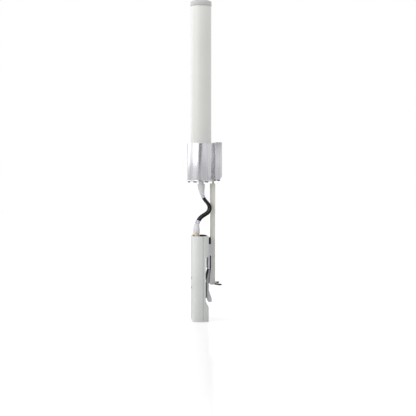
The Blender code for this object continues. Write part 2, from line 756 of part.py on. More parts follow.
def make_clip():
    """The clip on the radio's back: a plate, and a wing on each side that runs down beside the rail."""
    wing = [
        (SLIDER_BACK + GAP, CLIP_TOP),
        (RAIL_STEP, CLIP_TOP),
        (RAIL_STEP, 90 * MM),
        (RAIL_STEP + 0.4 * MM, 72 * MM),
        (RAIL_STEP - 0.2 * MM, CLIP_LOW),
        (15.4 * MM, CLIP_LOW + 0.8 * MM),
        (14.8 * MM, CLIP_LOW + 3 * MM),
        (SLIDER_BACK - 0.4 * MM, 93 * MM),
        (SLIDER_BACK + GAP, 97 * MM),
        (SLIDER_BACK + GAP, 123.5 * MM),
        (CLIP_PLATE_BACK, 123.5 * MM),
        (CLIP_PLATE_BACK, 98 * MM),
        (CLIP_STRIP_FRONT, 98 * MM),
        (CLIP_STRIP_FRONT, RECESS_TOP - 0.5 * MM),
        (CLIP_FRONT, RECESS_TOP - 0.5 * MM),
        (CLIP_FRONT, CLIP_PLATE_TOP),
        (SLIDER_BACK + GAP, CLIP_PLATE_TOP),
    ]
    bm = bmesh.new()
    add_box(
        bm,
        (-CLIP_HALF_WIDTH, CLIP_FRONT, RECESS_TOP + 1.5 * MM),
        (CLIP_HALF_WIDTH, CLIP_PLATE_BACK, CLIP_PLATE_TOP),
    )
    clip = make_object("radio_clip", bm, "grey_plastic", smooth=False)
    for side in (-1, 1):
        ends = sorted((side * WING_INNER, side * CLIP_HALF_WIDTH))
        shape = bmesh.new()
        add_prism(shape, wing, ends[0], ends[1], axis="X")
        combine(clip, shape, "UNION", f"wing_{side}")
    holes = bmesh.new()
    for height in CLIP_SCREW_HEIGHTS:
        add_rod(holes, (0.0, height), CLIP_SCREW_HOLE, CLIP_FRONT - PAST, RAIL_BACK, 12, axis="Y")
    combine(clip, holes, "DIFFERENCE", "holes")
    for number, height in enumerate(CLIP_SCREW_HEIGHTS, start=1):
        screw = bmesh.new()
        profile = pan_head_profile(3.0 * MM, 2.0 * MM, 1.4 * MM, 8 * MM, CLIP_SCREW_SEAT, -1)
        add_turned(screw, profile, 12, centre=(0.0, height), axis="Y")
        make_object(f"clip_screw_{number}", screw, "dark_screw")


def make_slider():
    """The black slide block: its T head runs in the rail's slot, and a guided strip of it backs the latch."""
    neck = RAIL_SLOT_HALF_WIDTH - 0.4 * MM
    head = RAIL_FRONT_HALF_WIDTH - RAIL_WALL - 0.4 * MM
    head_front = RAIL_FRONT + RAIL_WALL + 0.4 * MM
    front = CLIP_PLATE_BACK + GAP
    right = [(SLIDER_HALF_WIDTH, front), (SLIDER_HALF_WIDTH, SLIDER_BACK), (neck, SLIDER_BACK)]
    right += [(neck, head_front), (head, head_front), (head, head_front + 1.8 * MM)]
    bm = bmesh.new()
    add_prism(bm, right + [(-x, y) for x, y in reversed(right)], SLIDER_LOW, SLIDER_TOP)
    slider = make_object("rail_slider", bm, "black_plastic", smooth=False)
    top = bmesh.new()
    low = (-SLIDER_HALF_WIDTH, CLIP_FRONT, CLIP_PLATE_TOP + GAP)
    high = (SLIDER_HALF_WIDTH, SLIDER_BACK - 0.1 * MM, SLIDER_TOP - 1 * MM)
    add_box(top, low, high)
    combine(slider, top, "UNION", "top")
    strip = bmesh.new()
    root = SLIDER_BACK - 0.5 * MM
    strip_front = RECESS_FLOOR + GAP
    strip_back = strip_front + 1 * MM
    strip_low = 42 * MM
    profile = [
        (root, SLIDER_LOW + 3 * MM),
        (CLIP_PLATE_BACK - 1.4 * MM, SLIDER_LOW + 3 * MM),
        (11.6 * MM, 95.5 * MM),
        (7.2 * MM, 78.5 * MM),
        (strip_front, 74 * MM),
        (strip_front, strip_low),
        (strip_back, strip_low),
        (strip_back, 73.6 * MM),
        (9.0 * MM, 79 * MM),
        (12.6 * MM, 94 * MM),
        (14.0 * MM, SLIDER_LOW - 0.4 * MM),
        (root, SLIDER_LOW - 0.4 * MM),
    ]
    add_prism(strip, profile, -STRIP_HALF_WIDTH, STRIP_HALF_WIDTH, axis="X")
    combine(slider, strip, "UNION", "strip")
    guide_top = 72 * MM
    guide = [(strip_front, guide_top), (strip_front, strip_low)]
    guide += [(GUIDE_BACK, strip_low), (GUIDE_BACK, guide_top)]
    for side in (-1, 1):
        ends = sorted((side * (LATCH_HALF_WIDTH + 0.6 * MM), side * SLIDER_HALF_WIDTH))
        rib = bmesh.new()
        add_prism(rib, guide, ends[0], ends[1], axis="X")
        combine(slider, rib, "UNION", f"guide_{side}")
    holes = bmesh.new()
    for height in CLIP_SCREW_HEIGHTS:
        add_turned(holes, slider_screw_hole(), 12, centre=(0.0, height), axis="Y")
    combine(slider, holes, "DIFFERENCE", "holes")


def slider_screw_hole():
    """Shank hole and head recess of a clip screw, through the slide block."""
    head_floor = CLIP_SCREW_SEAT - GAP
    head_hole = 3.4 * MM
    return [
        (0.0, RAIL_BACK),
        (head_hole, RAIL_BACK),
        (head_hole, head_floor),
        (CLIP_SCREW_HOLE, head_floor),
        (CLIP_SCREW_HOLE, RECESS_FLOOR),
        (0.0, RECESS_FLOOR),
    ]


def make_latch():
    """The release latch: a tongue under the clip that ends in a thumb tab."""
    profile = [
        (13.9, 97.6),
        (17.0, 97.6),
        (16.7, 92.0),
        (15.0, 81.0),
        (14.1, 76.0),
        (14.1, 58.0),
        (17.4, 47.0),
        (19.6, 40.0),
        (19.9, 36.0),
        (19.0, 34.6),
        (13.4, 34.6),
        (11.8, 39.0),
        (10.5, 50.0),
        (10.3, 76.0),
        (11.0, 82.0),
        (13.2, 92.0),
    ]
    bm = bmesh.new()
    outline = [(y * MM, z * MM) for y, z in profile]
    add_prism(bm, outline, -LATCH_HALF_WIDTH, LATCH_HALF_WIDTH, axis="X")
    make_object("release_latch", bm, "grey_plastic", location=LATCH_PIVOT, smooth=False)


# ---------------------------------------------------------------- radio


def radio_outline(inset):
    """The radio seen from above, moved inwards by the inset."""
    low = (-RADIO_HALF_WIDTH + inset, RADIO_FRONT + inset)
    high = (RADIO_HALF_WIDTH - inset, RADIO_BACK - inset)
    return rounded_rectangle(low, high, RADIO_CORNER - inset, 7)


def make_front_shell():
    bm = bmesh.new()
    add_prism(bm, radio_outline(0.0), 0.0, RADIO_TOP)
    shell = make_object("front_shell", bm, "shell")
    hollow = bmesh.new()
    add_prism(hollow, radio_outline(RADIO_WALL), -PAST, RADIO_TOP + PAST)
    combine(shell, hollow, "DIFFERENCE", "hollow")
    rear = bmesh.new()
    side = RADIO_HALF_WIDTH + PAST
    add_box(rear, (-side, RADIO_SPLIT, -PAST), (side, RADIO_BACK + PAST, RADIO_TOP + PAST))
    combine(shell, rear, "DIFFERENCE", "rear")
    windows = bmesh.new()
    for height in LENS_HEIGHTS:
        reach = 0.5 * LENS_WIDTH + GAP
        low = (-reach, RADIO_FRONT - PAST, height - 0.5 * LENS_LENGTH - GAP)
        high = (reach, RADIO_FRONT + PAST, height + 0.5 * LENS_LENGTH + GAP)
        add_box(windows, low, high)
    combine(shell, windows, "DIFFERENCE", "windows")


def make_indicator_lens():
    """One clear bar behind the front wall, with a finger in each window."""
    wall = RADIO_FRONT + RADIO_WALL + GAP
    bm = bmesh.new()
    low = (-4 * MM, wall, LENS_HEIGHTS[0] - 7 * MM)
    add_box(bm, low, (4 * MM, wall + 2 * MM, LENS_HEIGHTS[-1] + 7 * MM))
    lens = make_object("indicator_lens", bm, "lens", smooth=False)
    for number, height in enumerate(LENS_HEIGHTS, start=1):
        finger = bmesh.new()
        half = 0.5 * LENS_WIDTH
        low = (-half, RADIO_FRONT - 0.4 * MM, height - 0.5 * LENS_LENGTH)
        high = (half, wall + 1 * MM, height + 0.5 * LENS_LENGTH)
        add_box(finger, low, high)
        combine(lens, finger, "UNION", f"finger_{number}")


def make_back_shell():
    bm = bmesh.new()
    add_prism(bm, radio_outline(0.0), 0.0, RADIO_TOP)
    shell = make_object("back_shell", bm, "shell")
    front = bmesh.new()
    side = RADIO_HALF_WIDTH + PAST
    front_low = (-side, RADIO_FRONT - PAST, -PAST)
    add_box(front, front_low, (side, RADIO_SPLIT + GAP, RADIO_TOP + PAST))
    combine(shell, front, "DIFFERENCE", "front")
    recess = bmesh.new()
    past_back = RADIO_BACK + PAST
    past_low = RECESS_LOW - PAST * RECESS_SLOPE_RISE / RECESS_SLOPE_RUN
    profile = [
        (RECESS_FLOOR, RECESS_LOW + RECESS_SLOPE_RISE),
        (past_back, past_low),
        (past_back, RECESS_TOP),
        (RECESS_FLOOR, RECESS_TOP),
    ]
    add_prism(recess, profile, -side, side, axis="X")
    combine(shell, recess, "DIFFERENCE", "recess")

    hollow = bmesh.new()
    floor = RECESS_FLOOR - RADIO_WALL
    deep = RADIO_BACK - RADIO_WALL
    profile = [
        (RADIO_FRONT, -PAST),
        (deep, -PAST),
        (deep, RECESS_LOW - RADIO_WALL),
        (floor, RECESS_LOW + RECESS_SLOPE_RISE - 1.25 * RADIO_WALL),
        (floor, RECESS_TOP + RADIO_WALL),
        (deep, RECESS_TOP + RADIO_WALL),
        (deep, RADIO_TOP + PAST),
        (RADIO_FRONT, RADIO_TOP + PAST),
    ]
    add_prism(hollow, profile, -side, side, axis="X")
    helper = combine(shell, hollow, "DIFFERENCE", "hollow")
    sides = bmesh.new()
    add_prism(sides, radio_outline(RADIO_WALL), -2 * PAST, RADIO_TOP + 2 * PAST)
    combine(helper, sides, "INTERSECT", "sides")

    openings = bmesh.new()
    reach = DOOR_TONGUE + GAP
    low = (DOOR_LOW_X - reach, 0.0, -PAST)
    add_box(openings, low, (DOOR_HIGH_X + reach, past_back, BOTTOM_THICKNESS))
    for height in CLIP_SCREW_HEIGHTS:
        add_rod(openings, (0.0, height), CLIP_SCREW_HOLE, floor, past_back, 12, axis="Y")
    combine(shell, openings, "DIFFERENCE", "openings")


def make_end_panels():
    """The sunk jack panel on top, and the bottom panel with its sliding port door and reset button."""
    inset = RADIO_WALL + GAP
    bm = bmesh.new()
    add_prism(bm, radio_outline(inset), PANEL_LOW, PANEL_LOW + PANEL_THICKNESS)
    panel = make_object("jack_panel", bm, "black_plastic")
    holes = bmesh.new()
    for side in (-1, 1):
        centre = (side * LOWER_JACK_X, LOWER_JACK_Y)
        add_rod(holes, centre, JACK_HOLE_RADIUS, PANEL_LOW - PAST, PANEL_LOW + 2 * PAST)
    combine(panel, holes, "DIFFERENCE", "holes")

    bm = bmesh.new()
    add_prism(bm, radio_outline(inset), 0.0, BOTTOM_THICKNESS)
    bottom = make_object("bottom_panel", bm, "shell")
    holes = bmesh.new()
    section = door_outline(GAP, -PAST, 2 * PAST)
    add_prism(holes, section, DOOR_FRONT - GAP, RADIO_BACK + PAST, axis="Y")
    combine(bottom, holes, "DIFFERENCE", "door_slot")
    button_hole = bmesh.new()
    add_rod(button_hole, RESET_PLACE, 1.6 * MM, -PAST, 2 * PAST, 12)
    combine(bottom, button_hole, "DIFFERENCE", "button_hole")

    door = bmesh.new()
    inset = 0.4 * MM
    section = door_outline(0.0, inset, BOTTOM_THICKNESS - inset)
    add_prism(door, section, DOOR_FRONT, RADIO_BACK - inset, axis="Y")
    middle = (0.5 * (DOOR_LOW_X + DOOR_HIGH_X), 0.0, 0.5 * BOTTOM_THICKNESS)
    make_object("port_door", door, "shell", location=middle, smooth=False)

    button = bmesh.new()
    profile = [
        (0.0, 6 * MM),
        (2.3 * MM, 6 * MM),
        (2.3 * MM, 4 * MM),
        (1.3 * MM, 4 * MM),
        (1.3 * MM, 0.8 * MM),
        (0.0, 0.8 * MM),
    ]
    add_turned(button, profile, 16, centre=RESET_PLACE)
    make_object("reset_button", button, "dark_rubber", location=(*RESET_PLACE, 2 * MM))


def door_outline(clearance, low, high):
    """The door's section, with a side tongue in each of the panel's grooves."""
    left, right = DOOR_LOW_X - clearance, DOOR_HIGH_X + clearance
    tongue_low, tongue_high = 1.1 * MM - clearance, 1.9 * MM + clearance
    return [
        (left, low),
        (right, low),
        (right, tongue_low),
        (right + DOOR_TONGUE, tongue_low),
        (right + DOOR_TONGUE, tongue_high),
        (right, tongue_high),
        (right, high),
        (left, high),
        (left, tongue_high),
        (left - DOOR_TONGUE, tongue_high),
        (left - DOOR_TONGUE, tongue_low),
        (left, tongue_low),
    ]


def make_electronics():
    """The radio's board, the shield over its circuits, the ethernet jack and the two antenna jacks."""
    board = bmesh.new()
    board_low = (-35 * MM, CIRCUIT_BOARD_FRONT, 8 * MM)
    add_box(board, board_low, (35 * MM, CIRCUIT_BOARD_BACK, 146 * MM))
    make_object("circuit_board", board, "board", smooth=False)
    seat = CIRCUIT_BOARD_BACK + GAP
    can = bmesh.new()
    add_box(can, (-24 * MM, seat, 60 * MM), (24 * MM, 1.5 * MM, 120 * MM))
    make_object("shield_can", can, "steel", smooth=False)
    jack = bmesh.new()
    add_box(jack, (9 * MM, seat, 3.6 * MM), (25 * MM, 10.2 * MM, 24 * MM))
    socket = make_object("ethernet_jack", jack, "grey_plastic", smooth=False)
    opening = bmesh.new()
    add_box(opening, (11 * MM, 0.0, -PAST), (23 * MM, 8.2 * MM, 19 * MM))
    combine(socket, opening, "DIFFERENCE", "socket")

    for number, side in ((1, 1), (2, -1)):
        flange = PANEL_LOW + PANEL_THICKNESS + GAP
        profile = [
            (0.0, LOWER_JACK_END),
            (JACK_RADIUS, LOWER_JACK_END),
            (JACK_RADIUS, flange + 1.9 * MM),
            (4.9 * MM, flange + 1.9 * MM),
            (4.9 * MM, flange),
            (JACK_RADIUS, flange),
            (JACK_RADIUS, 138 * MM),
            (0.0, 138 * MM),
        ]
        bm = bmesh.new()
        add_turned(bm, profile, 16, centre=(side * LOWER_JACK_X, LOWER_JACK_Y))
        make_object(f"radio_jack_{number}", bm, "gold")


# ---------------------------------------------------------------- jumper leads


def jumper_stops(side):
    """The route of one jumper from jack to jack; the +X one is side 1."""
    return [
        (side * 11.0 * MM, 0.3 * MM, 259.2 * MM),
        (side * 11.0 * MM, 0.4 * MM, 255.3 * MM),
        (side * 11.0 * MM, 0.6 * MM, 251.4 * MM),
        (side * 11.1 * MM, 1.0 * MM, 247.6 * MM),
        (side * 11.1 * MM, 1.6 * MM, 243.8 * MM),
        (side * 11.2 * MM, 2.4 * MM, 240.0 * MM),
        (side * 11.4 * MM, 3.4 * MM, 236.2 * MM),
        (side * 11.9 * MM, 4.9 * MM, 232.7 * MM),
        (side * 12.6 * MM, 6.9 * MM, 229.5 * MM),
        (side * 13.6 * MM, 9.2 * MM, 226.5 * MM),
        (side * 14.7 * MM, 11.6 * MM, 223.7 * MM),
        (side * 15.7 * MM, 13.9 * MM, 220.7 * MM),
        (side * 16.6 * MM, 15.6 * MM, 217.4 * MM),
        (side * 17.3 * MM, 16.3 * MM, 213.6 * MM),
        (side * 17.8 * MM, 15.8 * MM, 209.9 * MM),
        (side * 18.2 * MM, 14.1 * MM, 206.4 * MM),
        (side * 18.5 * MM, 11.4 * MM, 203.6 * MM),
        (side * 18.8 * MM, 8.2 * MM, 201.5 * MM),
        (side * 19.1 * MM, 5.0 * MM, 199.4 * MM),
        (side * 19.4 * MM, 1.8 * MM, 197.2 * MM),
        (side * 19.6 * MM, -1.1 * MM, 194.7 * MM),
        (side * 19.8 * MM, -3.6 * MM, 191.7 * MM),
        (side * 19.9 * MM, -5.6 * MM, 188.4 * MM),
        (side * 20.0 * MM, -7.2 * MM, 184.8 * MM),
        (side * 20.0 * MM, -8.1 * MM, 181.1 * MM),
        (side * 20.0 * MM, -8.6 * MM, 177.2 * MM),
        (side * 20.0 * MM, -8.8 * MM, 173.3 * MM),
        (side * 20.0 * MM, -8.8 * MM, 169.5 * MM),
        (side * 20.0 * MM, -8.8 * MM, 165.4 * MM),
    ]


def make_nut(name, centre, low, high, outer, sides):
    """A ring that turns on its jack: knurled when it has many sides."""
    bm = bmesh.new()
    add_rod(bm, centre, outer, low, high, sides)
    nut = make_object(name, bm, "gold", location=(*centre, 0.5 * (low + high)))
    bore = bmesh.new()
    add_rod(bore, centre, NUT_BORE, low - PAST, high + PAST, 16)
    combine(nut, bore, "DIFFERENCE", "bore")


def make_jumper(number, side):
    """One jumper: a boot and a shrink sleeve at each end, the cable between, and the two coupling nuts."""
    upper = (side * UPPER_JACK_X, UPPER_JACK_Y)
    lower = (side * LOWER_JACK_X, LOWER_JACK_Y)
    upper_low = UPPER_JACK_END + 0.1 * MM
    lower_high = LOWER_JACK_END + 0.5 * MM
    make_nut(f"upper_coupling_nut_{number}", upper, upper_low, END_PLATE_LOW - GAP, 4.6 * MM, 6)
    make_nut(f"lower_coupling_nut_{number}", lower, lower_high - 5.8 * MM, lower_high, 4.9 * MM, 20)

    route = smooth_route(jumper_stops(side))
    total = route[1][-1]
    cable_start = UPPER_BOOT_LENGTH + SLEEVE_LENGTH + 2 * GAP
    cable_end = total - LOWER_BOOT_LENGTH - SLEEVE_LENGTH - 2 * GAP

    share = [k / (BOOT_ROWS - 1) for k in range(BOOT_ROWS)]
    boot = stretch(route, 0.0, UPPER_BOOT_LENGTH, BOOT_ROWS)
    radii = [UPPER_BOOT_RADIUS - UPPER_BOOT_TAPER * max(0.0, along - 0.2) / 0.8 for along in share]
    make_hose(f"upper_boot_{number}", boot, radii, "pale_plastic", 3)
    sleeve_radii = [SLEEVE_RADIUS] * SLEEVE_ROWS
    sleeve = stretch(route, UPPER_BOOT_LENGTH + GAP, cable_start - GAP, SLEEVE_ROWS)
    make_hose(f"upper_sleeve_{number}", sleeve, sleeve_radii, "sleeve", 3)

    cable = stretch(route, cable_start, cable_end, CABLE_ROWS)
    make_hose(f"jumper_cable_{number}", cable, [CABLE_RADIUS] * CABLE_ROWS, "black_rubber")

    sleeve = stretch(route, cable_end + GAP, total - LOWER_BOOT_LENGTH - GAP, SLEEVE_ROWS)
    make_hose(f"lower_sleeve_{number}", sleeve, sleeve_radii, "sleeve", 3)
    boot = stretch(route, total, total - LOWER_BOOT_LENGTH, BOOT_ROWS)
    radii = [LOWER_BOOT_RADIUS - LOWER_BOOT_TAPER * max(0.0, along - 0.4) / 0.6 for along in share]
    make_hose(f"lower_boot_{number}", boot, radii, "pale_plastic", 3)


make_radome()
make_top_cap()
make_antenna_elements()
make_base_plug()
make_antenna_jacks()
make_collar()
make_end_plate()
make_saddle()
make_rail()
make_clip()
make_slider()
make_latch()
make_front_shell()
make_indicator_lens()
make_back_shell()
make_end_panels()
make_electronics()
make_jumper(1, 1)
make_jumper(2, -1)
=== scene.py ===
"""The looks of the omnidirectional antenna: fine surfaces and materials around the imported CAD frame.

Metres, +Z up, the frame's own axes: the radome's axis on x = y = 0 and the radio's bottom on z = 0.
"""

import json
import math

import bmesh
import bpy
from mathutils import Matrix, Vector


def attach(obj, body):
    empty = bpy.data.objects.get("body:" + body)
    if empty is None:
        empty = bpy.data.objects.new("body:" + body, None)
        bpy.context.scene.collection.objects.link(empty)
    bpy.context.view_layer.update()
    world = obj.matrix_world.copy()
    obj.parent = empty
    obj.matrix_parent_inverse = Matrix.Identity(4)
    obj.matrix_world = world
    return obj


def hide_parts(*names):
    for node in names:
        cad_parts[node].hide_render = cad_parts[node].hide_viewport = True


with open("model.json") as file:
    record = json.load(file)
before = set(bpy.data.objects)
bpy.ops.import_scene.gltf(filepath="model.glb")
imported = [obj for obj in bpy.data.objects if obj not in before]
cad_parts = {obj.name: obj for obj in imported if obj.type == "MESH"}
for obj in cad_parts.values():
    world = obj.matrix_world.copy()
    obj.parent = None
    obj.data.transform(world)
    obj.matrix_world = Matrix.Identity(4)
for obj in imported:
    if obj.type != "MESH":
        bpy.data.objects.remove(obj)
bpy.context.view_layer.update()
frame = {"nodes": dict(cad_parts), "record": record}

MM = 0.001
GAP = 0.3 * MM

# ---------------------------------------------------------------- camera

CAMERA_AZIMUTH = 85.5
CAMERA_ELEVATION = 1.6
CAMERA_TARGET = (0.0, 13.3 * MM, 213.3 * MM)
CAMERA_DISTANCE = 2.24
CAMERA_LENS = 101.6
CAMERA_REACH = 50.0


def look_from(azimuth, elevation, target, distance, lens):
    """A camera at the given angles round the target, azimuth 0 looking along +Y."""
    a, e = math.radians(azimuth), math.radians(elevation)
    back = Vector((math.sin(a) * math.cos(e), -math.cos(a) * math.cos(e), math.sin(e)))
    camera = bpy.data.objects.new("camera", bpy.data.cameras.new("camera"))
    camera.data.lens = lens
    camera.data.clip_end = CAMERA_REACH
    camera.location = Vector(target) + distance * back
    camera.rotation_euler = back.to_track_quat("Z", "Y").to_euler()
    bpy.context.scene.collection.objects.link(camera)
    bpy.context.scene.camera = camera


look_from(CAMERA_AZIMUTH, CAMERA_ELEVATION, CAMERA_TARGET, CAMERA_DISTANCE, CAMERA_LENS)

# ---------------------------------------------------------------- jumper cables

CABLE_RADIUS = 2.7 * MM
UPPER_BOOT_LENGTH = 20.5 * MM
LOWER_BOOT_LENGTH = 18.0 * MM
SLEEVE_LENGTH = 6.0 * MM
SLEEVE_RADIUS = 3.0 * MM
UPPER_BOOT = (6.0 * MM, 2.8 * MM, 0.2)  # widest radius, how much it tapers, share before the taper
LOWER_BOOT = (5.2 * MM, 2.1 * MM, 0.4)
UPPER_JACK = (11.0 * MM, 0.3 * MM)
LOWER_JACK = (20.0 * MM, -8.8 * MM)
CURVE_STEPS = 24
CABLE_ROWS = 60
SLEEVE_ROWS = 24
SLEEVE_DRAW = 0.35 * MM
SLEEVE_DRAW_SHARE = 6.0  # one over the share of the length that is drawn in
SLEEVE_PUCKER = 0.06 * MM
SLEEVE_PUCKER_TURN = 23.0
BOOT_ROWS = 70
BOOT_LIP = (0.45 * MM, 0.03)  # how much the wide end is rounded off, and over which share
BOOT_TIP = (0.5 * MM, 0.04)
BOOT_GROOVES = (0.09, 0.74, 0.86)
BOOT_GROOVE_DEPTH = 0.22 * MM
BOOT_GROOVE_WIDTH = 0.014


def jumper_stops(side):
    """The route of one jumper from jack to jack, as part.py has it; the +X one is side 1."""
    return [
        (side * 11.0 * MM, 0.3 * MM, 259.2 * MM),
        (side * 11.0 * MM, 0.4 * MM, 255.3 * MM),
        (side * 11.0 * MM, 0.6 * MM, 251.4 * MM),
        (side * 11.1 * MM, 1.0 * MM, 247.6 * MM),
        (side * 11.1 * MM, 1.6 * MM, 243.8 * MM),
        (side * 11.2 * MM, 2.4 * MM, 240.0 * MM),
        (side * 11.4 * MM, 3.4 * MM, 236.2 * MM),
        (side * 11.9 * MM, 4.9 * MM, 232.7 * MM),
        (side * 12.6 * MM, 6.9 * MM, 229.5 * MM),
        (side * 13.6 * MM, 9.2 * MM, 226.5 * MM),
        (side * 14.7 * MM, 11.6 * MM, 223.7 * MM),
        (side * 15.7 * MM, 13.9 * MM, 220.7 * MM),
        (side * 16.6 * MM, 15.6 * MM, 217.4 * MM),
        (side * 17.3 * MM, 16.3 * MM, 213.6 * MM),
        (side * 17.8 * MM, 15.8 * MM, 209.9 * MM),
        (side * 18.2 * MM, 14.1 * MM, 206.4 * MM),
        (side * 18.5 * MM, 11.4 * MM, 203.6 * MM),
        (side * 18.8 * MM, 8.2 * MM, 201.5 * MM),
        (side * 19.1 * MM, 5.0 * MM, 199.4 * MM),
        (side * 19.4 * MM, 1.8 * MM, 197.2 * MM),
        (side * 19.6 * MM, -1.1 * MM, 194.7 * MM),
        (side * 19.8 * MM, -3.6 * MM, 191.7 * MM),
        (side * 19.9 * MM, -5.6 * MM, 188.4 * MM),
        (side * 20.0 * MM, -7.2 * MM, 184.8 * MM),
        (side * 20.0 * MM, -8.1 * MM, 181.1 * MM),
        (side * 20.0 * MM, -8.6 * MM, 177.2 * MM),
        (side * 20.0 * MM, -8.8 * MM, 173.3 * MM),
        (side * 20.0 * MM, -8.8 * MM, 169.5 * MM),
        (side * 20.0 * MM, -8.8 * MM, 165.4 * MM),
    ]


def smooth_route(stops):
    """Close points on a smooth curve through a route's own points, with their distances along it."""
    stops = [Vector(stop) for stop in stops]
    before = 2 * stops[0] - stops[1]
    after = 2 * stops[-1] - stops[-2]
    padded = [before] + stops + [after]
    points = []
    for a, b, c, d in zip(padded, padded[1:], padded[2:], padded[3:]):
        for k in range(CURVE_STEPS):
            t = k / CURVE_STEPS
            cubic = (3 * b - a - 3 * c + d) * t**3 + (2 * a - 5 * b + 4 * c - d) * t**2
            points.append(0.5 * (cubic + (c - a) * t) + b)
    points.append(stops[-1])
    distances = [0.0]
    for first, second in zip(points, points[1:]):
        distances.append(distances[-1] + (second - first).length)
    return points, distances


def stretch(route, start, end, count):
    """Evenly spaced points on part of a smooth route, between two distances along it."""
    points, distances = route
    places = []
    for k in range(count):
        goal = start + (end - start) * k / (count - 1)
        i = next((n for n, at in enumerate(distances) if n > 0 and at >= goal), len(points) - 1)
        share = (goal - distances[i - 1]) / (distances[i] - distances[i - 1])
        places.append(points[i - 1].lerp(points[i], share))
    return places


def make_hose(name, points, radii, resolution):
    """A round bar along a route, with its own radius at each point."""
    curve = bpy.data.curves.new(name, "CURVE")
    curve.dimensions = "3D"
    curve.bevel_depth = 1.0
    curve.bevel_resolution = resolution
    curve.use_fill_caps = True
    spline = curve.splines.new("POLY")
    spline.points.add(len(points) - 1)
    for point, place, radius in zip(spline.points, points, radii):
        point.co = (*place, 1.0)
        point.radius = radius
    piece = bpy.data.objects.new(name, curve)
    bpy.context.scene.collection.objects.link(piece)
    return piece


def show_for(piece, node):
    """The piece stands for a CAD node of the antenna's body: it goes on that body and the node is
    hidden.
    """
    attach(piece, "antenna")
    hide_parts(node)
    return piece


def add_jumpers():
    """The two jumpers: cable, shrink sleeves and moulded boots, each along the same smooth route."""
    jumpers = []
    for number, side in ((1, 1), (2, -1)):
        route = smooth_route(jumper_stops(side))
        total = route[1][-1]
        start = UPPER_BOOT_LENGTH + SLEEVE_LENGTH + 2 * GAP
        end = total - LOWER_BOOT_LENGTH - SLEEVE_LENGTH - 2 * GAP
        points = stretch(route, start, end, CABLE_ROWS)
        cable = make_hose(f"cable_{number}", points, [CABLE_RADIUS] * len(points), 6)
        show_for(cable, f"jumper_cable_{number}")
        on_it = [
            make_sleeve(f"upper_sleeve_{number}", route, UPPER_BOOT_LENGTH + GAP, start - GAP),
            make_sleeve(f"lower_sleeve_{number}", route, total - LOWER_BOOT_LENGTH - GAP, end + GAP),
            make_boot(f"upper_boot_{number}", route, 0.0, UPPER_BOOT_LENGTH, UPPER_BOOT),
            make_boot(f"lower_boot_{number}", route, total, total - LOWER_BOOT_LENGTH, LOWER_BOOT),
        ]
        jumpers.append((cable, points, on_it))
    return jumpers


def make_sleeve(node, route, start, end):
    """A heat-shrink sleeve that is drawn in at both ends and puckered a little between them."""
    radii = []
    for k in range(SLEEVE_ROWS):
        along = k / (SLEEVE_ROWS - 1)
        drawn_in = SLEEVE_DRAW * max(0.0, 1.0 - SLEEVE_DRAW_SHARE * min(along, 1.0 - along))
        puckered = SLEEVE_PUCKER * (1.0 + math.sin(SLEEVE_PUCKER_TURN * along))
        radii.append(SLEEVE_RADIUS - drawn_in - puckered)
    sleeve = make_hose(node + "_fine", stretch(route, start, end, SLEEVE_ROWS), radii, 6)
    return show_for(sleeve, node)


def make_boot(node, route, start, end, form):
    """A moulded boot: rounded ends, a taper, a groove at its wide end and two near the cable."""
    widest, taper, straight = form
    lip, lip_share = BOOT_LIP
    tip, tip_share = BOOT_TIP
    radii = []
    for k in range(BOOT_ROWS):
        along = k / (BOOT_ROWS - 1)
        radius = widest - taper * max(0.0, along - straight) / (1.0 - straight)
        radius -= lip * max(0.0, 1.0 - along / lip_share)
        radius -= tip * max(0.0, 1.0 - (1.0 - along) / tip_share)
        for groove in BOOT_GROOVES:
            radius -= BOOT_GROOVE_DEPTH * math.exp(-(((along - groove) / BOOT_GROOVE_WIDTH) ** 2))
        radii.append(radius)
    boot = make_hose(node + "_fine", stretch(route, start, end, BOOT_ROWS), radii, 8)
    return show_for(boot, node)


JUMPERS = add_jumpers()

# ---------------------------------------------------------------- materials

# Heights of the band where black plastic is lightened to a painted shade grey
RIB_LOW = 40.0 * MM
RIB_TOP = 73.0 * MM


def start_material(name, colour, roughness, metallic=0.0):
    material = bpy.data.materials.new(name)
    material.use_nodes = True
    tree = material.node_tree
    shader = tree.nodes["Principled BSDF"]
    shader.inputs["Base Color"].default_value = (*colour, 1.0)
    shader.inputs["Roughness"].default_value = roughness
    shader.inputs["Metallic"].default_value = metallic
    return material, tree, shader


def add_node(tree, kind, settings=None, values=None):
    node = tree.nodes.new(kind)
    for key, value in (settings or {}).items():
        setattr(node, key, value)
    for key, value in (values or {}).items():
        node.inputs[key].default_value = value
    return node


def noise(tree, scale, stretch_by=(1.0, 1.0, 1.0), detail=3.0, rough=0.55, shift=0.0):
    """Noise in the object's own metres; stretch_by scales it along each axis."""
    place = add_node(tree, "ShaderNodeTexCoord")
    offset = (shift, shift, shift)
    move = add_node(tree, "ShaderNodeMapping", values={"Scale": stretch_by, "Location": offset})
    cloud = add_node(
        tree, "ShaderNodeTexNoise", values={"Scale": scale, "Detail": detail, "Roughness": rough}
    )
    tree.links.new(place.outputs["Object"], move.inputs["Vector"])
    tree.links.new(move.outputs["Vector"], cloud.inputs["Vector"])
    return cloud.outputs["Fac"]


def ramp(tree, factor, low, high, from_low=0.35, from_high=0.65):
    """The factor's middle range spread between two numbers."""
    spread = add_node(
        tree,
        "ShaderNodeMapRange",
        values={"From Min": from_low, "From Max": from_high, "To Min": low, "To Max": high},
    )
    tree.links.new(factor, spread.inputs["Value"])
    return spread.outputs["Result"]


def mix_colour(tree, factor, first, second):
    mix = add_node(tree, "ShaderNodeMix", settings={"data_type": "RGBA"})
    tree.links.new(factor, mix.inputs["Factor"])
    for socket, colour in ((mix.inputs[6], first), (mix.inputs[7], second)):
        if isinstance(colour, tuple):
            socket.default_value = (*colour, 1.0)
        else:
            tree.links.new(colour, socket)
    return mix.outputs[2]


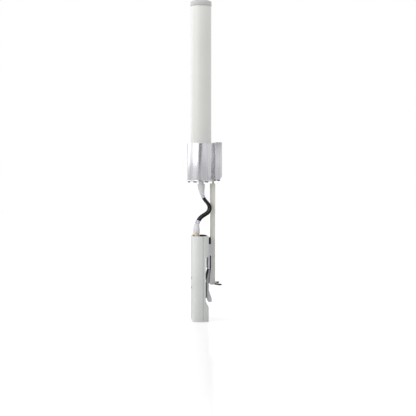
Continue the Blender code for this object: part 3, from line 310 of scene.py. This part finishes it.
def add_bump(tree, shader, heights, strength=0.4):
    """One bump for each (height, distance in metres), chained."""
    normal = None
    for height, distance in heights:
        bump = add_node(tree, "ShaderNodeBump", values={"Strength": strength, "Distance": distance})
        tree.links.new(height, bump.inputs["Height"])
        if normal is not None:
            tree.links.new(normal, bump.inputs["Normal"])
        normal = bump.outputs["Normal"]
    tree.links.new(normal, shader.inputs["Normal"])


def plastic(name, colour, roughness, grain_scale, grain_depth, spread=0.04, coat=0.0):
    """Moulded plastic: faint clouding, a fine spark-eroded grain, and slightly uneven gloss."""
    material, tree, shader = start_material(name, colour, roughness)
    shader.inputs["Coat Weight"].default_value = coat
    shader.inputs["Coat Roughness"].default_value = 0.25
    cloud = noise(tree, 22.0, detail=4.0)
    darker = tuple(channel * (1.0 - spread) for channel in colour)
    lighter = tuple(min(1.0, channel * (1.0 + 0.5 * spread)) for channel in colour)
    clouded = mix_colour(tree, ramp(tree, cloud, 0.0, 1.0), darker, lighter)
    tree.links.new(clouded, shader.inputs["Base Color"])
    grain = noise(tree, grain_scale, detail=2.0, shift=3.0)
    gloss = noise(tree, 60.0, detail=5.0, shift=7.0)
    tree.links.new(ramp(tree, gloss, roughness - 0.05, roughness + 0.06), shader.inputs["Roughness"])
    add_bump(tree, shader, [(grain, grain_depth)])
    return material


def black_and_painted_shade_band(name, colour, shade_band_grey):
    """Black moulded plastic, lightened to grey between RIB_LOW and RIB_TOP: that grey on the slide
    block's strip and the ribs behind the latch is painted shade.
    """
    material = plastic(name, colour, 0.5, 1200.0, 0.05 * MM, spread=0.2)
    tree = material.node_tree
    shader = tree.nodes["Principled BSDF"]
    black = shader.inputs["Base Color"].links[0].from_socket
    place = add_node(tree, "ShaderNodeTexCoord")
    parts = add_node(tree, "ShaderNodeSeparateXYZ")
    centre = 0.5 * (RIB_LOW + RIB_TOP)
    reach = 0.5 * (RIB_TOP - RIB_LOW)
    on_ribs = add_node(
        tree, "ShaderNodeMath", settings={"operation": "COMPARE"}, values={1: centre, 2: reach}
    )
    tree.links.new(place.outputs["Object"], parts.inputs["Vector"])
    tree.links.new(parts.outputs["Z"], on_ribs.inputs[0])
    tree.links.new(mix_colour(tree, on_ribs.outputs[0], black, shade_band_grey), shader.inputs["Base Color"])
    return material


def brushed(name, colour, roughness):
    """Drawn metal: long upright streaks in colour, gloss and height."""
    material, tree, shader = start_material(name, colour, roughness, 1.0)
    along = (1.0, 1.0, 0.02)
    depth = 0.02 * MM
    broad = noise(tree, 260.0, along, detail=4.0)
    fine = noise(tree, 1900.0, along, detail=3.0, shift=2.0)
    darker = tuple(0.86 * channel for channel in colour)
    streaked = mix_colour(tree, ramp(tree, broad, 0.0, 1.0), darker, colour)
    tree.links.new(streaked, shader.inputs["Base Color"])
    tree.links.new(ramp(tree, fine, roughness - 0.08, roughness + 0.10), shader.inputs["Roughness"])
    add_bump(tree, shader, [(fine, depth), (broad, 1.5 * depth)], strength=0.5)
    return material


def powder_coat(name, colour, roughness):
    """Sprayed paint on steel: orange peel and a few duller patches."""
    material, tree, shader = start_material(name, colour, roughness)
    peel = noise(tree, 900.0, detail=2.0)
    dull = noise(tree, 35.0, detail=5.0, shift=4.0)
    tree.links.new(ramp(tree, dull, roughness - 0.06, roughness + 0.10), shader.inputs["Roughness"])
    shade = tuple(0.95 * channel for channel in colour)
    patched = mix_colour(tree, ramp(tree, dull, 0.0, 1.0), shade, colour)
    tree.links.new(patched, shader.inputs["Base Color"])
    add_bump(tree, shader, [(peel, 0.06 * MM)])
    return material


def fibre_glass(name, colour, roughness):
    """Pultruded tube: very faint lengthwise streaks under a smooth gel coat."""
    material, tree, shader = start_material(name, colour, roughness)
    shader.inputs["Coat Weight"].default_value = 0.25
    shader.inputs["Coat Roughness"].default_value = 0.2
    streak = noise(tree, 420.0, (1.0, 1.0, 0.03), detail=4.0)
    cloud = noise(tree, 14.0, detail=4.0, shift=5.0)
    shade = tuple(0.965 * channel for channel in colour)
    clouded = mix_colour(tree, ramp(tree, cloud, 0.0, 1.0), shade, colour)
    tree.links.new(clouded, shader.inputs["Base Color"])
    tree.links.new(ramp(tree, cloud, roughness - 0.05, roughness + 0.05), shader.inputs["Roughness"])
    add_bump(tree, shader, [(streak, 0.02 * MM)], strength=0.35)
    return material


def plated(name, colour, roughness):
    """Bright plating with fine handling marks."""
    material, tree, shader = start_material(name, colour, roughness, 1.0)
    marks = noise(tree, 700.0, detail=6.0)
    tree.links.new(ramp(tree, marks, roughness - 0.06, roughness + 0.10), shader.inputs["Roughness"])
    add_bump(tree, shader, [(marks, 0.01 * MM)], strength=0.3)
    return material


def rubber(name, colour, roughness):
    """Moulded rubber with a dusty bloom and a dull fine skin."""
    material, tree, shader = start_material(name, colour, roughness)
    shader.inputs["Specular IOR Level"].default_value = 0.25
    bloom = noise(tree, 120.0, detail=5.0)
    skin = noise(tree, 1600.0, detail=2.0, shift=1.0)
    dusty = tuple(channel + 0.006 for channel in colour)
    bloomed = mix_colour(tree, ramp(tree, bloom, 0.0, 1.0), colour, dusty)
    tree.links.new(bloomed, shader.inputs["Base Color"])
    tree.links.new(ramp(tree, bloom, roughness - 0.08, roughness + 0.08), shader.inputs["Roughness"])
    add_bump(tree, shader, [(skin, 0.04 * MM)])
    return material


def printed_board(name):
    """Green solder mask over a faint pattern of tracks."""
    mask, track = (0.02, 0.18, 0.07), (0.05, 0.32, 0.12)
    material, tree, shader = start_material(name, mask, 0.35)
    place = add_node(tree, "ShaderNodeTexCoord")
    turn = add_node(tree, "ShaderNodeMapping", values={"Rotation": (math.radians(90), 0.0, 0.0)})
    tracks = add_node(
        tree,
        "ShaderNodeTexBrick",
        values={"Scale": 120.0, "Mortar Size": 0.09, "Brick Width": 1.7, "Row Height": 0.5},
    )
    tree.links.new(place.outputs["Object"], turn.inputs["Vector"])
    tree.links.new(turn.outputs["Vector"], tracks.inputs["Vector"])
    tone = mix_colour(tree, tracks.outputs["Fac"], mask, track)
    tree.links.new(tone, shader.inputs["Base Color"])
    add_bump(tree, shader, [(tracks.outputs["Fac"], 0.04 * MM)])
    return material


def make_looks():
    return {
        "radome": fibre_glass("radome_gel_coat", (0.86, 0.865, 0.815), 0.38),
        "cap": plastic("cap_grey", (0.68, 0.69, 0.67), 0.5, 1100.0, 0.04 * MM),
        "extrusion": brushed("brushed_extrusion", (0.86, 0.86, 0.88), 0.22),
        # near-black: on the end plate's screw heads under the collar it is painted shade; the other
        # screws and the rail foot share it
        "dark_screw": plated("near_black_and_painted_shade", (0.06, 0.06, 0.065), 0.38),
        "rail_paint": powder_coat("rail_powder_coat", (0.78, 0.775, 0.70), 0.45),
        "shell": plastic("shell_white", (0.75, 0.765, 0.735), 0.42, 1300.0, 0.04 * MM, coat=0.1),
        "clip_plastic": plastic("clip_grey", (0.70, 0.70, 0.73), 0.48, 1200.0, 0.04 * MM),
        "boot_plastic": plastic("boot_pale", (0.78, 0.77, 0.77), 0.45, 1500.0, 0.03 * MM),
        # black plastic; between RIB_LOW and RIB_TOP its grey is painted shade
        "black_plastic": black_and_painted_shade_band("panel_black_and_painted_shade", (0.02, 0.02, 0.022), (0.20, 0.20, 0.20)),
        "rubber": rubber("cable_jacket", (0.003, 0.003, 0.003), 0.3),
        "sleeve": rubber("shrink_sleeve", (0.62, 0.62, 0.74), 0.42),
        "gold": plated("gold_plate", (0.92, 0.78, 0.60), 0.30),
        "copper": plated("copper_foil", (0.80, 0.42, 0.27), 0.3),
        "board": printed_board("solder_mask"),
        "foam": rubber("foam_white", (0.80, 0.80, 0.77), 0.9),
        "tinned": plated("tinned_steel", (0.70, 0.70, 0.71), 0.32),
        "lens": plastic("lens_smoked", (0.03, 0.035, 0.045), 0.15, 900.0, 0.01 * MM),
    }


LOOKS = make_looks()
SLOT_OF = {entry["node"]: entry["material_slot"] for entry in frame["record"]["subparts"]}
BODY_OF = {
    node: body for body, nodes in frame["record"]["behaviour"]["bodies"].items() for node in nodes
}


def dress(piece, slot):
    """Gives a piece the one material of its slot."""
    piece.data.materials.clear()
    piece.data.materials.append(LOOKS[slot])


def declare_cables():
    for cable, points, on_it in JUMPERS:
        dress(cable, "rubber")
        for piece in on_it:
            dress(piece, "boot_plastic" if "boot" in piece.name else "sleeve")


declare_cables()

for node, piece in frame["nodes"].items():
    for entry in piece.material_slots:
        entry.material = LOOKS[SLOT_OF[node]]

# ---------------------------------------------------------------- finer pieces

# The CAD's own sizes that the finer pieces are built to
RADIO_LOW = (-40.0 * MM, -17.8 * MM)
RADIO_HIGH = (40.0 * MM, 12.6 * MM)
RADIO_CORNER = 13.0 * MM
END_PLATE_SEAT = 263.7 * MM
END_PLATE_SCREW_RING = 22.9 * MM
END_PLATE_SCREW_ANGLES = (27, 153, 210, 270, 330)
SADDLE_FOOT_SCREW = (38.0 * MM, 30.0 * MM)
SADDLE_FOOT_SEAT = 267.2 * MM
SADDLE_SCREW_X = 12.5 * MM
SADDLE_SCREW_HEIGHT = 301.0 * MM
TONGUE_SCREW_HEIGHT = 281.0 * MM
SEAT_SCREW_SEAT = 27.0 * MM
NUT_BORE = 3.5 * MM
UPPER_NUT_HEIGHTS = (259.6 * MM, 263.7 * MM)
UPPER_NUT_CORNER = 4.6 * MM
LOWER_NUT_HEIGHTS = (159.2 * MM, 165.0 * MM)
FOOT_HEIGHTS = (68.0 * MM, 70.5 * MM)

# Screw heads: radius and height
END_PLATE_HEAD = (2.3 * MM, 1.7 * MM)
SADDLE_FOOT_HEAD = (3.0 * MM, 2.2 * MM)
SADDLE_HEAD = (3.3 * MM, 1.8 * MM)
SCREW_LENGTH = 4.0 * MM

RAIL_EDGE = 0.35 * MM
FOOT_EDGE = 0.2 * MM
GRIP_EDGE = 0.2 * MM
DOOR_GRIP_EDGE = 0.12 * MM
# Heights and insets of the black sheet of painted shade inside the jack well
SHADE_LINING_HEIGHTS = (156.4 * MM, 160.7 * MM)
SHADE_LINING_INSETS = (2.05 * MM, 2.9 * MM)

# The width of the rounding on each CAD piece's edges, in millimetres
ROUNDED = {
    "front_shell": 0.7,
    "back_shell": 0.7,
    "bottom_panel": 0.3,
    "jack_panel": 0.3,
    "port_door": 0.25,
    "reset_button": 0.2,
    "indicator_lens": 0.2,
    "ethernet_jack": 0.3,
    "shield_can": 0.5,
    "collar_extrusion": 0.45,
    "collar_end_plate": 0.3,
    "pole_saddle": 0.4,
    "radio_clip": 0.3,
    "rail_slider": 0.25,
    "release_latch": 0.5,
    "radome_tube": 0.3,
    "top_cap": 0.5,
    "cap_plug": 0.5,
}


def add_piece(bm, name):
    bmesh.ops.recalc_face_normals(bm, faces=bm.faces)
    mesh = bpy.data.meshes.new(name)
    bm.to_mesh(mesh)
    bm.free()
    mesh.shade_smooth()
    piece = bpy.data.objects.new(name, mesh)
    bpy.context.scene.collection.objects.link(piece)
    return piece


def round_edges(piece, width):
    """A small radius on every edge sharper than a curved wall's own steps."""
    bevel = piece.modifiers.new("rounding", "BEVEL")
    bevel.width = width
    bevel.segments = 3
    bevel.limit_method = "ANGLE"
    bevel.angle_limit = math.radians(32.0)
    bevel.harden_normals = True


def finish_piece(piece, slot, body="antenna", node=None):
    """Dresses a new piece, puts it on its body and, if it stands for a CAD node, hides that one."""
    dress(piece, slot)
    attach(piece, body)
    if node:
        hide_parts(node)


def copy_of(node):
    """A copy of a CAD piece in large flat faces."""
    source = frame["nodes"][node]
    bm = bmesh.new()
    bm.from_mesh(source.data)
    bmesh.ops.remove_doubles(bm, verts=bm.verts, dist=0.01 * MM)
    bmesh.ops.dissolve_limit(bm, angle_limit=math.radians(1.0), verts=bm.verts, edges=bm.edges)
    piece = add_piece(bm, node + "_fine")
    piece.matrix_world = source.matrix_world.copy()
    return piece


def rounded_copy(node, width):
    """The CAD piece's own shape with its edges rounded off."""
    piece = copy_of(node)
    round_edges(piece, width)
    finish_piece(piece, SLOT_OF[node], BODY_OF[node], node)


def place_on(axis, centre, radius, angle, height):
    """A point on a circle round an axis through the centre, whose numbers are X and Y or X and Z."""
    a = centre[0] + radius * math.cos(angle)
    b = centre[1] + radius * math.sin(angle)
    return (a, b, height) if axis == "Z" else (a, height, b)


def add_rings(bm, rows, count, centre, axis="Z", closed=False):
    """Rings of points, each row giving the radii of its even and odd points and its height."""
    rings = []
    for even, odd, height in rows:
        ring = []
        for k in range(count):
            angle = 2 * math.pi * k / count
            radius = odd if k % 2 else even
            ring.append(bm.verts.new(place_on(axis, centre, radius, angle, height)))
        rings.append(ring)
    pairs = list(zip(rings, rings[1:]))
    if closed:
        pairs.append((rings[-1], rings[0]))
    else:
        bm.faces.new(rings[0])
        bm.faces.new(rings[-1])
    for first, second in pairs:
        for k in range(count):
            j = (k + 1) % count
            bm.faces.new((first[k], first[j], second[j], second[k]))


def add_box(bm, low, high):
    ends = list(zip(low, high))
    verts = [bm.verts.new((x, y, z)) for x in ends[0] for y in ends[1] for z in ends[2]]
    for side in ((0, 1, 3, 2), (4, 6, 7, 5), (0, 4, 5, 1), (2, 3, 7, 6), (0, 2, 6, 4), (1, 5, 7, 3)):
        bm.faces.new([verts[i] for i in side])


def cut(piece, bm):
    """Takes a shape out of the piece's mesh for good."""
    cutter = add_piece(bm, "cutter")
    boolean = piece.modifiers.new("cut", "BOOLEAN")
    boolean.object = cutter
    graph = bpy.context.evaluated_depsgraph_get()
    mesh = bpy.data.meshes.new_from_object(piece.evaluated_get(graph))
    piece.modifiers.clear()
    piece.data = mesh
    bpy.data.objects.remove(cutter, do_unlink=True)


def make_screw(node, centre, seat, head, outward, axis="Z", shank=1.5 * MM):
    """A pan-head screw with a cross recess; outward is the head's side of its seat along the axis."""
    radius, height = head
    crown = [(1.0, 0.0), (1.0, 0.45), (0.94, 0.68), (0.80, 0.86), (0.55, 0.97), (0.25, 1.0)]
    rows = [(shank, shank, seat - outward * SCREW_LENGTH), (shank, shank, seat)]
    rows += [(radius * share, radius * share, seat + outward * height * up) for share, up in crown]
    bm = bmesh.new()
    add_rings(bm, rows, 28, centre, axis)
    screw = add_piece(bm, node + "_fine")
    slim, long = 0.14 * radius, 0.58 * radius
    floor, above = seat + outward * 0.45 * height, seat + outward * 1.5 * height
    low, high = min(floor, above), max(floor, above)
    for half_x, half_other in ((slim, long), (long, slim)):
        arm = bmesh.new()
        a, b = centre
        if axis == "Z":
            add_box(arm, (a - half_x, b - half_other, low), (a + half_x, b + half_other, high))
        else:
            add_box(arm, (a - half_x, low, b - half_other), (a + half_x, high, b + half_other))
        cut(screw, arm)
    screw.data.set_sharp_from_angle(angle=math.radians(40.0))
    finish_piece(screw, "dark_screw", node=node)


def add_prism(bm, outline, low, high):
    bottom = [bm.verts.new((x, y, low)) for x, y in outline]
    top = [bm.verts.new((x, y, high)) for x, y in outline]
    bm.faces.new(bottom)
    bm.faces.new(top)
    for k in range(len(outline)):
        j = (k + 1) % len(outline)
        bm.faces.new((bottom[k], bottom[j], top[j], top[k]))


def make_rail():
    """The painted rail, and its foot as a darker toothed plate of its own."""
    rail = copy_of("mount_rail")
    # what sticks out behind the rail and to its two sides is the foot
    for low_x, high_x, low_y in ((-40, 40, 26.02), (-40, -13.02, 10), (13.02, 40, 10)):
        away = bmesh.new()
        add_box(away, (low_x * MM, low_y * MM, 60 * MM), (high_x * MM, 45 * MM, 75 * MM))
        cut(rail, away)
    round_edges(rail, RAIL_EDGE)
    finish_piece(rail, "rail_paint", node="mount_rail")

    # half of the foot's outline in millimetres, from its root round to the middle of its notch
    right = [(13.1, 24.6), (30.0, 31.0), (28.0, 37.0), (24.0, 37.0)]
    for k in range(4):
        x, y = 24.0 - 4.0 * k, 37.0 - 1.75 * k
        right += [(x - 1.6, y - 1.75), (x - 4.0, y - 1.75)]
    outline = [(x * MM, y * MM) for x, y in right]
    outline += [(-x, y) for x, y in reversed(outline)]
    outline += [(-13.1 * MM, 26.1 * MM), (13.1 * MM, 26.1 * MM)]
    bm = bmesh.new()
    add_prism(bm, outline, *FOOT_HEIGHTS)
    foot = add_piece(bm, "rail_foot_fine")
    round_edges(foot, FOOT_EDGE)
    finish_piece(foot, "dark_screw")


def make_screws():
    """The collar's five small screws, the saddle's four and the one through the rail's tongue."""
    for number, degrees in enumerate(END_PLATE_SCREW_ANGLES, start=1):
        angle = math.radians(degrees)
        centre = (END_PLATE_SCREW_RING * math.cos(angle), END_PLATE_SCREW_RING * math.sin(angle))
        node = f"end_plate_screw_{number}"
        make_screw(node, centre, END_PLATE_SEAT, END_PLATE_HEAD, -1, shank=1.1 * MM)
    for number, side in ((1, 1), (2, -1)):
        foot = (side * SADDLE_FOOT_SCREW[0], SADDLE_FOOT_SCREW[1])
        make_screw(f"saddle_foot_screw_{number}", foot, SADDLE_FOOT_SEAT, SADDLE_FOOT_HEAD, -1)
        place = (side * SADDLE_SCREW_X, SADDLE_SCREW_HEIGHT)
        make_screw(f"saddle_screw_{number}", place, SEAT_SCREW_SEAT, SADDLE_HEAD, 1, "Y")
    make_screw("tongue_screw", (0.0, TONGUE_SCREW_HEIGHT), SEAT_SCREW_SEAT, SADDLE_HEAD, 1, "Y")


def make_upper_nut(number, side):
    """A hexagonal coupling nut with a washer face at each end."""
    low, high = UPPER_NUT_HEIGHTS
    centre = (side * UPPER_JACK[0], UPPER_JACK[1])
    turn = math.radians(30.0)
    flat = UPPER_NUT_CORNER * math.cos(turn)
    washer, washer_height = flat - 0.1 * MM, 0.35 * MM
    count = 48
    bm = bmesh.new()
    # a row without a radius follows the hexagon
    rows = [(NUT_BORE, low), (washer, low), (None, low + washer_height)]
    rows += [(None, high - washer_height), (washer, high), (NUT_BORE, high)]
    rings = []
    for radius, height in rows:
        ring = []
        for k in range(count):
            angle = 2 * math.pi * k / count
            reach = radius
            if radius is None:
                reach = flat / math.cos((angle % (2 * turn)) - turn)
            ring.append(bm.verts.new(place_on("Z", centre, reach, angle, height)))
        rings.append(ring)
    for first, second in zip(rings, rings[1:] + rings[:1]):
        for k in range(count):
            j = (k + 1) % count
            bm.faces.new((first[k], first[j], second[j], second[k]))
    nut = add_piece(bm, f"upper_coupling_nut_{number}_fine")
    nut.data.set_sharp_from_angle(angle=math.radians(28.0))
    finish_piece(nut, "tinned", f"upper_nut_{number}", f"upper_coupling_nut_{number}")


def make_lower_nut(number, side):
    """A knurled ring with a plain grooved neck above the knurl."""
    low, high = LOWER_NUT_HEIGHTS
    ridge, dip, neck = 4.9 * MM, 4.62 * MM, 4.35 * MM
    rows = [
        (NUT_BORE, NUT_BORE, low),
        (dip - 0.2 * MM, dip - 0.2 * MM, low),
        (ridge, dip, low + 0.4 * MM),
        (ridge, dip, high - 2.0 * MM),
        (neck, neck, high - 1.7 * MM),
        (neck, neck, high - 1.2 * MM),
        (dip, dip, high - 1.0 * MM),
        (dip, dip, high - 0.3 * MM),
        (neck, neck, high),
        (NUT_BORE, NUT_BORE, high),
    ]
    bm = bmesh.new()
    add_rings(bm, rows, 72, (side * LOWER_JACK[0], LOWER_JACK[1]), closed=True)
    nut = add_piece(bm, f"lower_coupling_nut_{number}_fine")
    nut.data.set_sharp_from_angle(angle=math.radians(30.0))
    finish_piece(nut, "gold", f"lower_nut_{number}", f"lower_coupling_nut_{number}")


def make_seam():
    """The dark gasket that shows in the seam between the radio's two shells."""
    bm = bmesh.new()
    for side in (-1, 1):
        ends = sorted((side * 38.2 * MM, side * 39.5 * MM))
        add_box(bm, (ends[0], 1.03 * MM, 0.5 * MM), (ends[1], 1.27 * MM, 160.5 * MM))
    finish_piece(add_piece(bm, "seam_gasket"), "rubber")


def radio_outline(inset):
    """The radio seen from above, moved inwards by the inset."""
    low = (RADIO_LOW[0] + inset, RADIO_LOW[1] + inset)
    high = (RADIO_HIGH[0] - inset, RADIO_HIGH[1] - inset)
    radius = RADIO_CORNER - inset
    corners = [(high[0], high[1]), (low[0], high[1]), (low[0], low[1]), (high[0], low[1])]
    points = []
    for turn, (x, y) in enumerate(corners):
        middle_x = x - math.copysign(radius, x)
        middle_y = y - math.copysign(radius, y)
        for k in range(9):
            angle = 0.5 * math.pi * (turn + k / 8)
            points.append((middle_x + radius * math.cos(angle), middle_y + radius * math.sin(angle)))
    return points


def make_top_shade_lining():
    """A black sheet on the inner wall of the sunk well round the radio's two jacks: painted shade on a
    wall that lies in shade.
    """
    bm = bmesh.new()
    outer, inner = (radio_outline(inset) for inset in SHADE_LINING_INSETS)
    low, high = SHADE_LINING_HEIGHTS
    rings = []
    for outline, height in ((outer, low), (outer, high), (inner, high), (inner, low)):
        rings.append([bm.verts.new((x, y, height)) for x, y in outline])
    for first, second in zip(rings, rings[1:] + rings[:1]):
        for k in range(len(first)):
            j = (k + 1) % len(first)
            bm.faces.new((first[k], first[j], second[j], second[k]))
    lining = add_piece(bm, "jack_well_painted_shade")
    lining.data.set_sharp_from_angle(angle=math.radians(35.0))
    finish_piece(lining, "black_plastic")


def make_grips():
    """Ridges for the thumb on the latch's tab, and for a nail on the port door."""
    bm = bmesh.new()
    for k in range(4):
        height = (37.5 + 2.6 * k) * MM
        back = (20.05 - 0.30 * max(0, k - 1) * 2.6) * MM
        add_box(bm, (-7.5 * MM, back - 1.2 * MM, height), (7.5 * MM, back, height + 1.0 * MM))
    ridges = add_piece(bm, "latch_grip")
    round_edges(ridges, GRIP_EDGE)
    finish_piece(ridges, "clip_plastic", "latch")
    bm = bmesh.new()
    for k in range(3):
        front = (7.0 + 1.6 * k) * MM
        add_box(bm, (12 * MM, front, 0.12 * MM), (22 * MM, front + 0.7 * MM, 0.6 * MM))
    ridges = add_piece(bm, "door_grip")
    round_edges(ridges, DOOR_GRIP_EDGE)
    finish_piece(ridges, "shell", "door")


for node, width in ROUNDED.items():
    rounded_copy(node, width * MM)
make_rail()
make_screws()
for number, side in ((1, 1), (2, -1)):
    make_upper_nut(number, side)
    make_lower_nut(number, side)
make_seam()
# black sheet of painted shade in the jack well
make_top_shade_lining()
make_grips()

# ---------------------------------------------------------------- floor and light

FLOOR_ALBEDO = 0.55
FLOOR_GLOW = 0.45
FLOOR_GLOSS = 0.22
FLOOR_HALF_WIDTH = 6.0
FLOOR_HEIGHT = -0.1 * MM

# The room's brightness by direction
FRONT_LIGHT = 1.70
FRONT_FALL = 0.70
SIDE_LIGHT = 0.56
DARK_CARD = 0.34
STRIP_LIFT = 0.20
BACK_LIGHT = 0.72
TOP_LIGHT = 0.35
BEHIND_LIGHT = 0.45

KEY_PLACE = (0.9, -2.0, 1.2)
KEY_TARGET = (0.0, 0.0, 0.3)
KEY_SIZE = (1.4, 1.8)
KEY_POWER = 4.0


def add_key():
    """One soft lamp in front, to the right and above."""
    light = bpy.data.lights.new("key", "AREA")
    light.shape = "RECTANGLE"
    light.size, light.size_y = KEY_SIZE
    light.energy = KEY_POWER
    lamp = bpy.data.objects.new("key", light)
    lamp.location = KEY_PLACE
    away = Vector(KEY_PLACE) - Vector(KEY_TARGET)
    lamp.rotation_euler = away.to_track_quat("Z", "Y").to_euler()
    bpy.context.scene.collection.objects.link(lamp)


def make_floor():
    """White to the camera's eye, with a faint sheen, and a modest bounce for the light."""
    bm = bmesh.new()
    bmesh.ops.create_grid(bm, x_segments=1, y_segments=1, size=FLOOR_HALF_WIDTH)
    mesh = bpy.data.meshes.new("floor")
    bm.to_mesh(mesh)
    bm.free()
    floor = bpy.data.objects.new("floor", mesh)
    floor.location = (0.0, 0.0, FLOOR_HEIGHT)
    bpy.context.scene.collection.objects.link(floor)
    material, tree, shader = start_material("floor_white", (FLOOR_ALBEDO,) * 3, 0.6)
    out = tree.nodes["Material Output"]
    rays = add_node(tree, "ShaderNodeLightPath")
    glow = add_node(tree, "ShaderNodeEmission")
    level = add_node(
        tree, "ShaderNodeMath", settings={"operation": "MULTIPLY"}, values={1: FLOOR_GLOW}
    )
    gloss = add_node(tree, "ShaderNodeBsdfGlossy", values={"Roughness": 0.12})
    polish = add_node(tree, "ShaderNodeMixShader", values={"Fac": FLOOR_GLOSS})
    total = add_node(tree, "ShaderNodeAddShader")
    shader.inputs["Specular IOR Level"].default_value = 0.0
    tree.links.new(rays.outputs["Is Camera Ray"], level.inputs[0])
    tree.links.new(level.outputs[0], glow.inputs["Strength"])
    tree.links.new(shader.outputs["BSDF"], polish.inputs[1])
    tree.links.new(gloss.outputs["BSDF"], polish.inputs[2])
    tree.links.new(polish.outputs["Shader"], total.inputs[0])
    tree.links.new(glow.outputs["Emission"], total.inputs[1])
    tree.links.new(total.outputs["Shader"], out.inputs["Surface"])
    mesh.materials.append(material)


def blend_between(tree, value, start, end, first, second):
    """Smoothly from the first number to the second while the value goes from start to end."""
    spread = add_node(
        tree,
        "ShaderNodeMapRange",
        settings={"interpolation_type": "SMOOTHSTEP"},
        values={"From Min": start, "From Max": end, "To Min": first, "To Max": second},
    )
    tree.links.new(value, spread.inputs["Value"])
    return spread.outputs["Result"]


def make_world():
    """White to the camera's eye; for the light, bright on the -Y side and above, darker elsewhere."""
    world = bpy.data.worlds.new("studio")
    world.use_nodes = True
    tree = world.node_tree
    tree.nodes.clear()
    way = add_node(tree, "ShaderNodeTexCoord")
    parts = add_node(tree, "ShaderNodeSeparateXYZ")
    tree.links.new(way.outputs["Generated"], parts.inputs["Vector"])
    front = blend_between(tree, parts.outputs["Y"], -0.62, -0.38, FRONT_LIGHT, SIDE_LIGHT)
    back = blend_between(tree, parts.outputs["Y"], 0.0, 0.5, 0.0, BACK_LIGHT - SIDE_LIGHT)
    edge = blend_between(tree, parts.outputs["Y"], -0.97, -0.85, -FRONT_FALL, 0.0)
    card_start = blend_between(tree, parts.outputs["Y"], -0.48, -0.38, 0.0, -DARK_CARD)
    card_end = blend_between(tree, parts.outputs["Y"], -0.12, -0.02, 0.0, DARK_CARD + STRIP_LIFT)
    strip_end = blend_between(tree, parts.outputs["Y"], 0.18, 0.28, 0.0, -STRIP_LIFT)
    above = blend_between(tree, parts.outputs["Z"], 0.35, 0.9, 0.0, TOP_LIGHT)
    behind = blend_between(tree, parts.outputs["X"], -0.92, -0.80, BEHIND_LIGHT, 0.0)
    whole = front
    for share in (back, edge, card_start, card_end, strip_end, above, behind):
        total = add_node(tree, "ShaderNodeMath", settings={"operation": "ADD"})
        tree.links.new(whole, total.inputs[0])
        tree.links.new(share, total.inputs[1])
        whole = total.outputs[0]
    rays = add_node(tree, "ShaderNodeLightPath")
    soft = add_node(tree, "ShaderNodeBackground", values={"Color": (0.98, 0.98, 1.0, 1.0)})
    tree.links.new(whole, soft.inputs["Strength"])
    plain = {"Color": (1.0, 1.0, 1.0, 1.0), "Strength": 1.0}
    white = add_node(tree, "ShaderNodeBackground", values=plain)
    mix = add_node(tree, "ShaderNodeMixShader")
    out = add_node(tree, "ShaderNodeOutputWorld")
    tree.links.new(rays.outputs["Is Camera Ray"], mix.inputs["Fac"])
    tree.links.new(soft.outputs["Background"], mix.inputs[1])
    tree.links.new(white.outputs["Background"], mix.inputs[2])
    tree.links.new(mix.outputs["Shader"], out.inputs["Surface"])
    bpy.context.scene.world = world


make_floor()
make_world()
add_key()
bpy.context.scene.view_settings.view_transform = "Standard"
